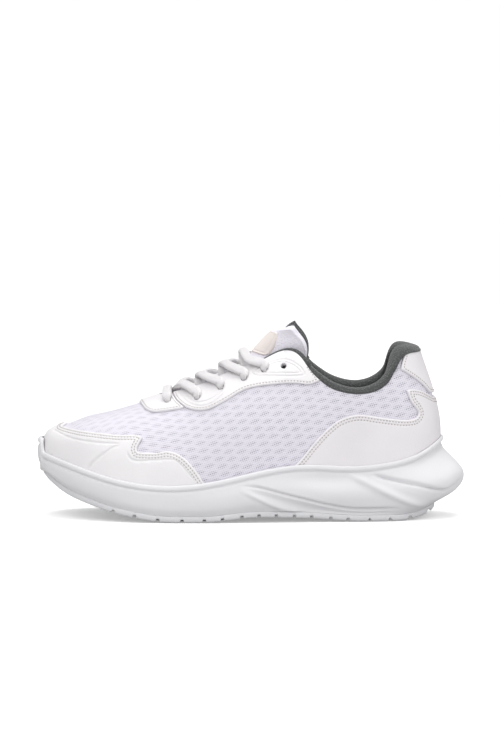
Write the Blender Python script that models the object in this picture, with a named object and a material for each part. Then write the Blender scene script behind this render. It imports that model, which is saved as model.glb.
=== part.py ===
"""Running shoe, left foot, as an assembly of its separate pieces.

The toe points to -X, the heel to +X, the outer (lateral) side to -Y. The design is in millimetres and is
scaled to metres where a mesh is made. Every layer of the upper is an offset of one surface, the last, which
runs up from the footprint at t = 0 to the instep line or the ankle at t = 1, and round the foot with theta:
0 at the toe, -pi/2 on the outer side, pi/2 on the inner side and pi at the heel.
"""

import math

import bmesh
import bpy
import numpy as np
from mathutils import Vector

MM = 0.001
GAP = 0.3  # clearance between neighbouring layers

# Driving dimensions
TOE_X, HEEL_X = -140.0, 127.0  # ends of the upper's footprint
MID_X, HALF = (TOE_X + HEEL_X) / 2, (HEEL_X - TOE_X) / 2
OUTSOLE_THICK = 4.0
TREAD_DEPTH = 1.6
BOARD_THICK = 1.8
SOCKLINER_THICK = 5.0
MESH_THICK = 1.5
OVERLAY_IN, OVERLAY_OUT = 0.95, 2.1
BACKER_OUT, BACKER_IN = -1.95, -2.75
PUFF_OUT, PUFF_IN = -2.0, -3.0
COUNTER_OUT, COUNTER_IN = -1.95, -3.3
LINING_OUT, LINING_IN = -3.6, -4.4
LACE_R = 1.1
EYELET_R = 2.2


def spline(points):
    """A smooth curve through (x, y) points, level past its ends."""
    xs, ys = np.array(points, float).T
    n, h = len(xs), np.diff(xs)
    a, b = np.eye(n), np.zeros(n)
    for i in range(1, n - 1):
        a[i, i - 1 : i + 2] = h[i - 1], 2 * (h[i - 1] + h[i]), h[i]
        b[i] = 6 * ((ys[i + 1] - ys[i]) / h[i] - (ys[i] - ys[i - 1]) / h[i - 1])
    m = np.linalg.solve(a, b)

    def at(x):
        x = np.clip(x, xs[0], xs[-1])
        i = np.clip(np.searchsorted(xs, x, "right") - 1, 0, n - 2)
        left, right = x - xs[i], xs[i + 1] - x
        bend = (m[i] * right**3 + m[i + 1] * left**3) / (6 * h[i])
        return (
            bend
            + (ys[i] / h[i] - m[i] * h[i] / 6) * right
            + (ys[i + 1] / h[i] - m[i + 1] * h[i] / 6) * left
        )

    return at


def straight(points):
    """Straight runs through (x, y) points."""
    xs, ys = np.array(points, float).T
    return lambda x: np.interp(x, xs, ys)


def smoothstep(x, low, high):
    u = np.clip((x - low) / (high - low), 0, 1)
    return u * u * (3 - 2 * u)


# The last: its plan, its heights and the shape of its sections, against the footprint's x
centre = spline([(-140, 8), (-110, 5), (-75, 1.5), (-40, 0), (0, -3), (40, -3), (80, -1.5), (127, 0)])
width = spline([(-140, 58), (-120, 62), (-100, 59), (-75, 55.4), (-50, 51.3), (-20, 46.7), (10, 42.8),
                (40, 41), (70, 44.5), (95, 52), (115, 61), (127, 64)])
spine_x = spline([(-140, -108), (-120, -102.5), (-100, -91), (-80, -76.5), (-60, -59.5), (-40, -40), (0, 0),
                  (40, 40), (60, 59.5), (80, 75), (100, 85), (115, 89), (127, 90)])
bed = spline([(-140, 31), (-122, 26), (-98, 20.5), (-61, 15.8), (-34, 16.2), (0, 20), (37, 24.5), (70, 26),
              (103, 27), (127, 29)])
crest = spline([(-112, 66.5), (-95, 70.5), (-82, 74.3), (-62, 81), (-35, 91.5), (-19, 98.7), (-3.5, 105.5),
                (10, 112), (26, 119), (45, 126), (70, 131), (92, 131)])
side_pull = spline([(-140, 1.0), (-120, 0.9), (-100, 0.8), (-60, 0.56), (-20, 0.7), (10, 0.74), (40, 0.62),
                    (70, 0.5), (127, 0.5)])
roof_pull = spline([(-140, 0.85), (-120, 0.8), (-100, 0.74), (-60, 0.6), (-20, 0.55), (10, 0.6), (40, 0.55),
                    (127, 0.5)])
ankle_half = straight([(24, 0), (40, 13), (55, 22), (70, 26), (127, 27)])

# Heights of edges on the upper, as seen from the side
rim = spline([(-140, 44.5), (-122, 39), (-98, 31.3), (-61, 25.3), (-34, 26.4), (9, 35.3), (37, 38.7),
              (70, 37.5), (86, 38.7), (103, 42), (115, 47), (127, 55)])
topline = spline([(-62, 81), (-50, 84), (-35, 88.5), (-20, 95), (-5, 101.3), (8, 106), (17, 110.5), (26, 113),
                  (31, 112), (36, 107.5), (41, 100.5), (46, 95.5), (54, 89.8), (62, 87), (72, 85.6), (85, 87.6),
                  (92, 91), (98, 96), (103, 102.5), (108, 109), (115, 115), (122, 117), (127, 117.5)])
collar_rise = spline([(36, 3.5), (50, 5), (70, 4.2), (92, 6), (105, 6), (127, 5.5)])
collar_thick = spline([(36, 7.5), (50, 8.5), (70, 9.5), (127, 10.5)])
underside = spline([(-142, 29), (-126, 18), (-112, 12.3), (-92, 6), (-77, 2.9), (-62, 0.6), (-50, 0), (-36, 0),
                (-20, 0.9), (-4, 2.9), (8, 3.4), (27, 2.9), (42, 2.2), (60, 0.7), (74, 0), (101, 0), (113, 1.6),
                (123, 4.5), (134, 10)])


def under(x):
    """The outsole's underside: flat on the ground under the ball and the heel, raised at the arch and the ends."""
    return np.maximum(underside(x), 0.0)


EYELETS = [(-55.4, 78.4), (-35.1, 81.4), (-19.3, 88.5), (-3.5, 94.8), (9.8, 100.6), (22.8, 103.3)]


def footprint_x(theta):
    return MID_X - HALF * np.cos(theta)


def theta_of(x, side):
    """Theta where the footprint has this x, on the outer (-1) or inner (+1) side."""
    return side * np.arccos(np.clip((MID_X - np.asarray(x, float)) / HALF, -1, 1))


def frame_at(theta):
    """Footprint point, unit direction inwards, distance to the spine, and footprint x."""
    x = footprint_x(theta)
    y = centre(x) + np.sin(theta) * width(x)
    q = spine_x(x)
    dx, dy = q - x, centre(q) - y
    reach = np.hypot(dx, dy)
    return x, y, dx / reach, dy / reach, reach, q


def last(theta, t):
    """The last's surface, in millimetres."""
    theta, t = np.broadcast_arrays(np.asarray(theta, float), np.asarray(t, float))
    x, y, dx, dy, reach, q = frame_at(theta)
    base = bed(x)
    open_top = smoothstep(x, 24, 70)
    run = reach - ankle_half(x)
    rise = crest(q) - base
    slope = (crest(q + 0.5) - crest(q - 0.5)) * dx
    bulge = 1.5 + 1.0 * smoothstep(x, 80, 127)
    hr = roof_pull(x) * run * (1 - open_top) + 11 * open_top
    hz = slope * roof_pull(x) * run * (1 - open_top) + 0.36 * rise * open_top
    r1, z1 = -bulge, side_pull(x) * rise
    r2, z2 = run - hr, rise - hz
    b1, b2, b3 = 3 * t * (1 - t) ** 2, 3 * t**2 * (1 - t), t**3
    r = b1 * r1 + b2 * r2 + b3 * run
    z = base + b1 * z1 + b2 * z2 + b3 * rise
    return np.stack([x + dx * r, y + dy * r, z], -1)


def normal(theta, t):
    """Outward unit normal of the last."""
    theta, t = np.broadcast_arrays(np.asarray(theta, float), np.asarray(t, float))
    e = 1e-4
    tc = np.clip(t, e, 0.985)
    du = last(theta + e, tc) - last(theta - e, tc)
    dv = last(theta, tc + e) - last(theta, tc - e)
    n = np.cross(dv, du)
    n /= np.linalg.norm(n, axis=-1, keepdims=True)
    x, _, _, _, _, q = frame_at(theta)
    slope = crest(q + 0.5) - crest(q - 0.5)
    top = np.stack([-slope, 0 * slope, 1 + 0 * slope], -1)
    top /= np.linalg.norm(top, axis=-1, keepdims=True)
    share = (smoothstep(t, 0.9, 1.0) * (x < 26))[..., None]
    n = n * (1 - share) + top * share
    return n / np.linalg.norm(n, axis=-1, keepdims=True)


def layer(theta, t, out):
    """A point on the layer this far outside the last."""
    return last(theta, t) + normal(theta, t) * np.asarray(out)[..., None]


def t_at(theta, height):
    """The t at which the last reaches a height."""
    theta, height = np.broadcast_arrays(np.asarray(theta, float), np.asarray(height, float))
    ts = np.linspace(0, 1, 161)
    z = last(theta[..., None], ts)[..., 2]
    flat_z, flat_h = z.reshape(-1, len(ts)), height.reshape(-1)
    found = [np.interp(h, row, ts) for row, h in zip(flat_z, flat_h)]
    return np.array(found).reshape(theta.shape)


def spread(start, end, steps):
    return np.linspace(start, end, steps + 1)


# Stations shared by every layer, so that the layers' chords lie over each other: even in theta round the toe
# and the heel, and even in x between them
ONE_SIDE = np.concatenate([spread(0, 0.8, 7)[:-1], theta_of(spread(-99, 82, 17), 1), spread(2.3, math.pi, 8)[1:]])
ROUND = np.concatenate([-ONE_SIDE[::-1], ONE_SIDE[1:]])


def between(start, end):
    """The shared stations between two thetas, and the two ends."""
    both = np.concatenate([ROUND, ROUND[1:] + 2 * math.pi])
    inside = both[(both > start + 0.012) & (both < end - 0.012)]
    return np.concatenate([[start], inside, [end]])


def beside(x_from, x_to, side):
    """The shared stations along one side between two values of x."""
    a, b = sorted((float(theta_of(x_from, side)), float(theta_of(x_to, side))))
    return between(a, b)


def round_toe(x):
    """The shared stations from the outer side at x, round the toe, to the inner side at x."""
    a = float(theta_of(x, 1))
    return between(-a, a)


def round_heel(x):
    """The shared stations from the inner side at x, round the heel, to the outer side at x."""
    a = float(theta_of(x, 1))
    return between(a, 2 * math.pi - a)


def material(name, colour, roughness):
    mat = bpy.data.materials.get(name) or bpy.data.materials.new(name)
    mat.use_nodes = True
    shader = mat.node_tree.nodes["Principled BSDF"]
    shader.inputs["Base Color"].default_value = (*colour, 1)
    shader.inputs["Roughness"].default_value = roughness
    mat.diffuse_color = (*colour, 1)
    return mat


WHITE_KNIT = ("white_knit", (0.80, 0.78, 0.86), 0.9)
WHITE_LEATHER = ("white_synthetic_leather", (0.86, 0.85, 0.83), 0.5)
FOAM_GREY = ("pale_grey_foam", (0.72, 0.73, 0.75), 0.6)
RUBBER_GREY = ("pale_grey_rubber", (0.66, 0.67, 0.69), 0.7)
DARK_TEXTILE = ("dark_grey_textile", (0.09, 0.095, 0.095), 0.95)
LACE_WHITE = ("lace_white", (0.88, 0.86, 0.89), 0.85)
BOARD_CREAM = ("board_cream", (0.75, 0.70, 0.60), 0.9)
STIFFENER_TAN = ("stiffener_tan", (0.62, 0.52, 0.40), 0.8)
PAD_YELLOW = ("pad_foam", (0.80, 0.75, 0.50), 0.95)
BADGE_PINK = ("badge_warm_white", (0.85, 0.78, 0.76), 0.5)
AGLET_CLEAR = ("aglet_plastic", (0.80, 0.80, 0.82), 0.3)


class Solid:
    """Gathers faces by corner positions, so corners that coincide are shared."""

    def __init__(self, name, look):
        self.name, self.look = name, look
        self.points, self.index, self.faces = [], {}, []

    def corner(self, p):
        key = tuple(np.round(np.asarray(p, float) / 0.01).astype(int))
        if key not in self.index:
            self.index[key] = len(self.points)
            self.points.append([float(c) * MM for c in p])
        return self.index[key]

    def face(self, *corners):
        ids = []
        for p in corners:
            i = self.corner(p)
            if i not in ids:
                ids.append(i)
        if len(ids) > 2:
            self.faces.append(ids)

    def grid(self, rows):
        """Faces between successive rows of points."""
        for a, b in zip(rows, rows[1:]):
            for j in range(len(a) - 1):
                self.face(a[j], a[j + 1], b[j + 1], b[j])

    def finish(self, parts):
        mesh = bpy.data.meshes.new(self.name)
        mesh.from_pydata(self.points, [], self.faces)
        work = bmesh.new()
        work.from_mesh(mesh)
        bmesh.ops.delete(work, geom=[v for v in work.verts if not v.link_faces], context="VERTS")
        bmesh.ops.recalc_face_normals(work, faces=work.faces)
        work.to_mesh(mesh)
        work.free()
        mesh.shade_smooth()
        mesh.set_sharp_from_angle(angle=math.radians(40))
        mesh.materials.append(material(*self.look))
        obj = bpy.data.objects.new(self.name, mesh)
        parts.objects.link(obj)
        return obj


def band(parts, name, look, thetas, low, high, outer, inner, rows=8):
    """A layer of the upper between two values of t at each theta, closed all round.

    Where both ends of a station reach the crest, the two sides of the foot share that edge, so it stays open
    there and the halves join.
    """
    solid = Solid(name, look)
    thetas = np.asarray(thetas, float)
    shares = np.linspace(0, 1, rows + 1)
    ts = low[:, None] + (high - low)[:, None] * shares
    out = layer(thetas[:, None], ts, np.full(ts.shape, outer))
    ins = layer(thetas[:, None], ts, np.full(ts.shape, inner))
    solid.grid(out)
    solid.grid(ins)
    for i in range(len(thetas) - 1):
        solid.face(out[i, 0], out[i + 1, 0], ins[i + 1, 0], ins[i, 0])
        if high[i] < 0.9999 or high[i + 1] < 0.9999:
            solid.face(out[i, -1], out[i + 1, -1], ins[i + 1, -1], ins[i, -1])
    if abs(thetas[-1] - thetas[0] - 2 * math.pi) > 1e-6:
        for i in (0, -1):
            for j in range(rows):
                solid.face(out[i, j], out[i, j + 1], ins[i, j + 1], ins[i, j])
    return solid.finish(parts)


def edge_t(thetas, curve, lift=0.0):
    """t along an edge given by its height against the footprint's x."""
    return t_at(thetas, curve(footprint_x(thetas)) + lift)


def throat_t(thetas, drop=0.0):
    """The upper's free edge: the crest ahead of the throat, then the throat's and collar's line."""
    t = edge_t(thetas, topline, -drop)
    return np.where(footprint_x(thetas) < -61.5, 1.0, t)


def with_steps(thetas, xs):
    """Adds stations on both sides at these values of x."""
    extra = [side * float(theta_of(x, 1)) for side in (-1, 1) for x in xs]
    return np.array(sorted(set(np.round(np.concatenate([thetas, extra]), 6))))


def with_throat(thetas):
    """Adds stations where the throat opens, so that its front end is exact."""
    return with_steps(thetas, (-61.5001, -61.0, -59.0, -56.0))


# Bottom unit ---------------------------------------------------------------------------------------------

wall_mid = spline([(-140, 5), (-120, 5), (-61, 4.2), (0, 6), (60, 6.5), (95, 8.5), (115, 13), (127, 18)])
wall_low = spline([(-140, 0.5), (-120, 1.0), (-61, 1.0), (0, 1.5), (60, 2), (100, 2), (115, 0), (127, -2)])
mid_height = straight([(-140, 0.55), (-100, 0.5), (0, 0.5), (90, 0.5), (127, 0.48)])


def bumper(theta):
    """How much of the raised toe bumper there is."""
    return 1 - smoothstep(np.abs(theta), 0.15, 0.21)


def wall_profile(theta):
    """The midsole's section at one theta, as (inward distance, height) from the spine's foot to the bed."""
    x, y, dx, dy, reach, q = frame_at(theta)
    top = float(rim(x)) + 8.5 * float(bumper(theta))
    low = float(under(x - dx * float(wall_low(x)))) + OUTSOLE_THICK + GAP
    span = top - low
    spots = [(-float(wall_low(x)), low), (-float(wall_mid(x)) * 0.82, low + 0.22 * span),
             (-float(wall_mid(x)), low + float(mid_height(x)) * span), (-4.2, low + 0.84 * span),
             (-4.0, top - 1.2), (-3.3, top - 0.2)]
    inside = 2.3 + 1.3 * float(bumper(theta))
    floor = float(bed(x))
    t_rim = float(t_at(theta, top))
    shell = [layer(theta, np.array(t), np.array(inside)) for t in (t_rim, t_rim * 0.5, 0.0)]
    wall = [np.array([x + dx * r, y + dy * r, z]) for r, z in spots]
    shell[-1][2] = floor
    shell[0][2] = top
    return wall, shell, (x, y, dx, dy, reach, q)


def midsole(parts):
    solid = Solid("midsole", FOAM_GREY)
    stations = np.array(sorted(set(np.round(np.concatenate([ROUND, [-0.21, -0.18, -0.15, 0.15, 0.18, 0.21]]), 6))))
    rows = []
    for theta in stations:
        wall, shell, (x, y, dx, dy, reach, q) = wall_profile(theta)
        yc = float(centre(q))
        row = []
        for share in (0.0, 0.4, 0.75):
            a = np.array([float(q), yc]) * (1 - share) + wall[0][:2] * share
            row.append(np.array([a[0], a[1], float(under(a[0])) + OUTSOLE_THICK + GAP]))
        row += wall + shell
        for share in (0.3, 0.65, 1.0):
            a = shell[-1][:2] * (1 - share) + np.array([float(q), yc]) * share
            row.append(np.array([a[0], a[1], float(bed(q)) * share + float(bed(x)) * (1 - share)]))
        rows.append(row)
    solid.grid(rows)
    return solid.finish(parts)


def outsole(parts):
    """Rubber sole: transverse lugs between grooves that run out at both edges."""
    solid = Solid("outsole", RUBBER_GREY)
    grooves = [-92, -77.5, -62, -52, -32.5, -18, -5, 6, 18, 30, 41.5, 54, 66, 104.5, 114]
    half = 1.1
    stations = [-131, -127, -122, -116, -110, -104, -98]
    for g, after in zip(grooves, grooves[1:] + [123]):
        stations += [g - half, g - half + 0.05, g + half - 0.05, g + half]
        gap = after - g
        stations += [g + gap * k / (1 + int(gap // 14)) for k in range(1, 1 + int(gap // 14))]
    stations += [119, 122, 124.5, 126.5]
    rows = []
    for x in sorted(stations):
        in_groove = any(abs(x - g) < half - 0.01 for g in grooves)
        theta = float(theta_of(max(x, TOE_X + 4), 1))
        wl = max(float(width(x)) * math.sin(theta) + float(wall_low(x)) - 0.3, 4.0)
        yc = float(centre(x))
        low = float(under(x)) + (TREAD_DEPTH if in_groove else 0)
        high = float(under(x)) + OUTSOLE_THICK
        ys = [yc + wl * k for k in (-1, -0.5, 0, 0.5, 1)]
        rows.append([np.array([x, v, low]) for v in ys] + [np.array([x, v, high]) for v in reversed(ys)])
    loops = [row + [row[0]] for row in rows]
    solid.grid(loops)
    for row in (rows[0], rows[-1]):
        n = len(row)
        for k in range(n // 2 - 1):
            solid.face(row[k], row[k + 1], row[n - 2 - k], row[n - 1 - k])
    return solid.finish(parts)


def slab(parts, name, look, inset, low, high, rim_lift=0.0, heel_inset=0.0):
    """A sheet that follows the foot bed, this far inside the last, and further inside round the heel."""
    solid = Solid(name, look)
    rows = []
    for theta in ROUND:
        x, y, dx, dy, reach, q = frame_at(theta)
        inwards = inset + heel_inset * float(smoothstep(x, 10, 50))
        edge = np.array([x + dx * inwards, y + dy * inwards])
        middle = np.array([float(q), float(centre(q))])
        row = []
        for share in (0.0, 1.0):
            a = middle * (1 - share) + edge * share
            floor = float(bed(q)) * (1 - share) + float(bed(x)) * share
            row.append(np.array([a[0], a[1], floor + low]))
        for share in (1.0, 0.7, 0.0):
            a = middle * (1 - share) + edge * share
            floor = float(bed(q)) * (1 - share) + float(bed(x)) * share
            row.append(np.array([a[0], a[1], floor + high + rim_lift * (share == 1.0)]))
        rows.append(row)
    solid.grid(rows)
    return solid.finish(parts)


# Upper ---------------------------------------------------------------------------------------------------

toe_guard_top = spline([(-140, 63), (-132, 62.6), (-120, 60.6), (-105, 59.5), (-85, 58.8), (-74.5, 57.8),
                        (-73.5, 53), (-71.5, 47.5), (-66, 46.2), (-58, 46.2), (-50, 45), (-42, 39.5),
                        (-36, 33), (-31, 27.5)])
heel_guard_top = spline([(33, 39.5), (39, 47.5), (48, 58.3), (58, 67), (68, 71.2), (85, 71), (98, 69.5),
                         (105, 72), (109, 82), (113, 86.5), (127, 82)])
heel_tab_low = spline([(102, 101), (106, 99.5), (112, 96), (120, 89.5), (127, 84)])
eyestay_low = spline([(-51.8, 83.2), (-47, 78.5), (-42, 76), (-36, 74.8), (-29, 75.3), (-20, 79.5), (-10, 85.3),
                      (0, 89.8), (10, 91.8), (25, 92.6), (38, 92), (46, 94)])
overlay_low = spline([(-71, 77.4), (-69.5, 75), (-65, 72.6), (-57, 72.9), (-52.6, 73.6)])


def mesh_upper(parts):
    thetas = with_throat(ROUND)
    return band(parts, "mesh_upper", WHITE_KNIT, thetas, edge_t(thetas, bed, GAP), throat_t(thetas),
                0.0, -MESH_THICK, rows=10)


def toe_mudguard(parts):
    thetas = with_steps(round_toe(-31.5), (-76, -72, -67))
    return band(parts, "toe_mudguard", WHITE_LEATHER, thetas, edge_t(thetas, rim, -3.0),
                edge_t(thetas, toe_guard_top), OVERLAY_OUT, OVERLAY_IN, rows=9)


def heel_mudguard(parts):
    thetas = round_heel(34)
    return band(parts, "heel_mudguard", WHITE_LEATHER, thetas, edge_t(thetas, rim, -3.0),
                edge_t(thetas, heel_guard_top), OVERLAY_OUT, OVERLAY_IN, rows=5)


def heel_tab(parts):
    thetas = round_heel(102.5)
    return band(parts, "heel_tab", WHITE_LEATHER, thetas, edge_t(thetas, heel_tab_low),
                edge_t(thetas, topline), OVERLAY_OUT, OVERLAY_IN, rows=4)


def eyestay(parts, label, side):
    thetas = beside(-51.5, 45.5, side)
    return band(parts, "eyestay_" + label, WHITE_LEATHER, thetas, edge_t(thetas, eyestay_low),
                edge_t(thetas, topline), OVERLAY_OUT, OVERLAY_IN, rows=5)


def eyestay_backer(parts, label, side):
    thetas = beside(-51, 28, side)
    low = t_at(thetas, np.minimum(eyestay_low(footprint_x(thetas)), topline(footprint_x(thetas)) - 6) + 1.5)
    return band(parts, "eyestay_backer_" + label, BOARD_CREAM, thetas, low, edge_t(thetas, topline, -1.0),
                BACKER_OUT, BACKER_IN, rows=5)


def throat_overlay(parts):
    """A U of synthetic leather round the front of the throat; its ends butt against the eyestays."""
    solid_thetas = with_throat(np.concatenate([beside(-71, -52.6, s) for s in (-1, 1)]))
    solid_thetas = with_steps(solid_thetas, (-69.5, -67, -64))
    solid = Solid("throat_overlay", WHITE_LEATHER)
    shares = np.linspace(0, 1, 5)
    for side in (-1, 1):
        thetas = solid_thetas[np.sign(solid_thetas) == side]
        high = throat_t(thetas)
        low = np.minimum(edge_t(thetas, overlay_low), high)
        low[np.argmin(footprint_x(thetas))] = 1.0
        ts = low[:, None] + (high - low)[:, None] * shares
        out = layer(thetas[:, None], ts, np.full(ts.shape, OVERLAY_OUT))
        ins = layer(thetas[:, None], ts, np.full(ts.shape, OVERLAY_IN))
        solid.grid(out)
        solid.grid(ins)
        end = int(np.argmax(footprint_x(thetas)))
        for i in range(len(thetas) - 1):
            solid.face(out[i, 0], out[i + 1, 0], ins[i + 1, 0], ins[i, 0])
            if high[i] < 0.9999 or high[i + 1] < 0.9999:
                solid.face(out[i, -1], out[i + 1, -1], ins[i + 1, -1], ins[i, -1])
        for j in range(len(shares) - 1):
            solid.face(out[end, j], out[end, j + 1], ins[end, j + 1], ins[end, j])
    return solid.finish(parts)


def toe_puff(parts):
    thetas = round_toe(-118)
    return band(parts, "toe_puff", STIFFENER_TAN, thetas, edge_t(thetas, bed, 2.5),
                edge_t(thetas, toe_guard_top, 0.5), PUFF_OUT, PUFF_IN, rows=6)


def heel_counter(parts):
    thetas = round_heel(62)
    x = footprint_x(thetas)
    top = t_at(thetas, bed(x) + 10 + 40 * smoothstep(x, 62, 100))
    return band(parts, "heel_counter", STIFFENER_TAN, thetas, edge_t(thetas, bed, 2.5), top,
                COUNTER_OUT, COUNTER_IN, rows=4)


def vamp_lining(parts):
    thetas = round_toe(-62.2)
    return band(parts, "vamp_lining", DARK_TEXTILE, thetas, edge_t(thetas, bed, 2.5), np.ones(len(thetas)),
                LINING_OUT, LINING_IN, rows=7)


def quarter_lining(parts, label, side):
    thetas = beside(-61.0, 35.2, side)
    high = np.minimum(edge_t(thetas, topline, -0.9), 0.97)
    return band(parts, "quarter_lining_" + label, DARK_TEXTILE, thetas, edge_t(thetas, bed, 2.5), high,
                LINING_OUT, LINING_IN, rows=7)


def collar_sections(theta):
    """Rings of the collar at one theta: the lining's outer and inner faces, and the foam between."""
    x, y, dx, dy, reach, q = (float(v) for v in frame_at(theta))
    top = float(topline(x))
    rise, thick = float(collar_rise(x)), float(collar_thick(x))
    base = float(bed(x))

    def spot(inward, z):
        t = float(t_at(theta, min(z, top)))
        p = last(theta, t)
        return np.array([p[0] + dx * inward, p[1] + dy * inward, z])

    skin = 1.0
    heights = [top - 6, top - 0.35 * (top - base), base + 0.35 * (top - base), base + 2.6]
    depths = [thick, thick * 0.97, 0.4 * thick + 3.2, 5.0]
    out = [spot(0.1, top + 0.5), spot(-0.2, top + 0.45 * rise), spot(0.18 * thick, top + 0.85 * rise),
           spot(0.5 * thick, top + rise), spot(0.85 * thick, top + 0.7 * rise), spot(1.02 * thick, top - 1.0)]
    out += [spot(d, z) for d, z in zip(depths, heights)]
    ins = [spot(skin + 0.1, top + 0.5), spot(skin, top + 0.35 * rise), spot(0.18 * thick + 0.7, top + 0.8 * rise - skin),
           spot(0.5 * thick, top + rise - skin), spot(0.85 * thick - 0.6, top + 0.7 * rise - skin),
           spot(1.02 * thick - skin, top - 1.2)]
    ins += [spot(d - skin, z) for d, z in zip(depths, heights)]
    foam_out = [spot(2.8, top - 1.0), spot(0.5 * thick, top + rise - skin - 1.0),
                spot(1.02 * thick - skin - 0.6, top - 1.5), spot(thick - skin - 0.5, top - 6),
                spot(0.97 * thick - skin - 0.5, top - 0.35 * (top - base))]
    foam_in = [spot(2.5, top - 1.6), spot(2.5, top - 3), spot(2.5, top - 6), spot(2.7, top - 9),
               spot(3.9, top - 0.35 * (top - base))]
    return out, ins, foam_out, foam_in


def collar(parts):
    thetas = round_heel(36.2)
    lining, foam = Solid("collar_lining", DARK_TEXTILE), Solid("collar_foam", PAD_YELLOW)
    rings, pads = [], []
    for theta in thetas:
        out, ins, foam_out, foam_in = collar_sections(theta)
        rings.append(out + ins[::-1] + [out[0]])
        pads.append(foam_out + foam_in[::-1] + [foam_out[0]])
    pads = [pad for theta, pad in zip(thetas, pads) if footprint_x(theta) > 46]
    lining.grid(rings)
    foam.grid(pads)
    for solid, loops, half in ((lining, rings, 10), (foam, pads, 5)):
        for ring in (loops[0], loops[-1]):
            n = 2 * half
            for k in range(half - 1):
                solid.face(ring[k], ring[k + 1], ring[n - 2 - k], ring[n - 1 - k])
        solid.finish(parts)


# Tongue --------------------------------------------------------------------------------------------------

# Stations along the tongue: middle (x, z), then the outer edge (x, half width, z)
TONGUE = [(-57, 76.5, -55, 13, 67), (-46, 81, -43, 20, 66), (-34, 86.5, -29, 24.5, 69), (-22, 91.9, -13, 26, 74.5),
          (-12, 97.6, 3, 25, 82.5), (-5, 102.7, 17, 23, 91), (-1, 108, 28.5, 17.4, 99), (3.5, 113.5, 37, 15.3, 107),
          (9, 119.5, 37, 17.5, 117), (13, 123.5, 32, 18.5, 123.5), (16, 126, 28, 20, 128)]
SPLIT = 6.0  # the station at which the free top part bends away from the part under the laces
tongue_curves = [spline([(i, row[k]) for i, row in enumerate(TONGUE)]) for k in range(5)]


def tongue_point(p, q):
    """The tongue's face: p counts stations from its base, q runs from -1 (outer edge) to 1 (inner edge)."""
    p, q = np.broadcast_arrays(np.asarray(p, float), np.asarray(q, float))
    tx, tz, ex, ey, ez = (c(p) for c in tongue_curves)
    s = np.abs(q)
    b1, b2, b3 = 3 * s * (1 - s) ** 2, 3 * s**2 * (1 - s), s**3
    y = b1 * 0.3 * ey + b2 * 0.72 * ey + b3 * ey
    x = tx + (ex - tx) * (b2 * 0.38 + b3)
    z = tz + (ez - tz) * (b2 * 0.55 + b3)
    return np.stack([x, centre(x) + np.sign(q) * y, z], -1)


def tongue_layer(p, q, depth):
    """A point this far inside the tongue's face."""
    p, q = np.broadcast_arrays(np.asarray(p, float), np.asarray(q, float))
    e = 1e-3
    du = tongue_point(np.minimum(p + e, 10), q) - tongue_point(np.maximum(p - e, 0), q)
    dv = tongue_point(p, q + e) - tongue_point(p, q - e)
    n = np.cross(du, dv)
    n /= np.linalg.norm(n, axis=-1, keepdims=True)
    return tongue_point(p, q) - n * np.asarray(depth)[..., None]


def tongue_sheet(parts, name, look, p_low, p_high, width_share, shallow, deep):
    solid = Solid(name, look)
    ps = spread(p_low, p_high, int(round((p_high - p_low) * 1.2)))
    qs = np.linspace(-width_share, width_share, 11)
    fade = 1 - 0.75 * (np.abs(qs) / width_share) ** 4 if deep - shallow > 2 else np.ones(len(qs))
    outer = tongue_layer(ps[:, None], qs, np.full((len(ps), len(qs)), shallow))
    inner = tongue_layer(ps[:, None], qs, shallow + (deep - shallow) * np.broadcast_to(fade, outer.shape[:2]))
    solid.grid(outer)
    solid.grid(inner)
    for i in range(len(ps) - 1):
        for j in (0, -1):
            solid.face(outer[i, j], outer[i + 1, j], inner[i + 1, j], inner[i, j])
    for j in range(len(qs) - 1):
        for i in (0, -1):
            solid.face(outer[i, j], outer[i, j + 1], inner[i, j + 1], inner[i, j])
    return solid.finish(parts)


def tongue(parts):
    for label, low, high in (("lower", 0.0, SPLIT - 0.04), ("top", SPLIT + 0.04, 10.0)):
        tongue_sheet(parts, "tongue_face_" + label, WHITE_KNIT, low, high, 1.0, 0.0, 1.0)
        tongue_sheet(parts, "tongue_foam_" + label, PAD_YELLOW, low, high, 0.93, 1.4, 4.1)
        tongue_sheet(parts, "tongue_lining_" + label, DARK_TEXTILE, low, high, 0.98, 5.7, 6.5)


def badge(parts):
    """A plain welded patch on the front of the tongue's free top."""
    ps, qs = spread(6.8, 9.4, 4), np.linspace(-0.42, 0.42, 7)
    solid = Solid("tongue_badge", BADGE_PINK)
    faces = [tongue_layer(ps[:, None], qs, np.full((len(ps), len(qs)), d)) for d in (-1.5, -0.5)]
    for rows in faces:
        solid.grid(rows)
    for i in range(len(ps) - 1):
        for j in (0, -1):
            solid.face(faces[0][i, j], faces[0][i + 1, j], faces[1][i + 1, j], faces[1][i, j])
    for j in range(len(qs) - 1):
        for i in (0, -1):
            solid.face(faces[0][i, j], faces[0][i, j + 1], faces[1][i, j + 1], faces[1][i, j])
    return solid.finish(parts)


# Lace ----------------------------------------------------------------------------------------------------

def eyelet_frame(number, side):
    """Theta and t of an eyelet, counted from the toe."""
    x, z = EYELETS[number]
    theta = float(theta_of(x, side))
    return theta, float(t_at(theta, z))


def off_last(x, z, side, out):
    """A point over the last where it has this x and height."""
    theta = float(theta_of(x, side))
    return layer(np.array(theta), t_at(theta, z), np.array(float(out)))


def eyelet_spot(number, side, out, along=0.0):
    """A point on an eyelet's axis, moved this far towards the throat."""
    theta, t = eyelet_frame(number, side)
    centre_point, axis = last(theta, t), normal(theta, t)
    up = last(theta, t + 0.02) - centre_point
    return centre_point + axis * out + up / np.linalg.norm(up) * along


def throat_height(x, y, over):
    """A point over the tongue in the throat."""
    near = min((abs(tongue_point(p, q)[0] - x) + abs(tongue_point(p, q)[1] - y), p, q)
               for p in np.linspace(0, 6.5, 40) for q in np.linspace(-0.6, 0.6, 13))
    base = tongue_point(near[1], near[2])
    return np.array([x, y, base[2] + over])


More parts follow.
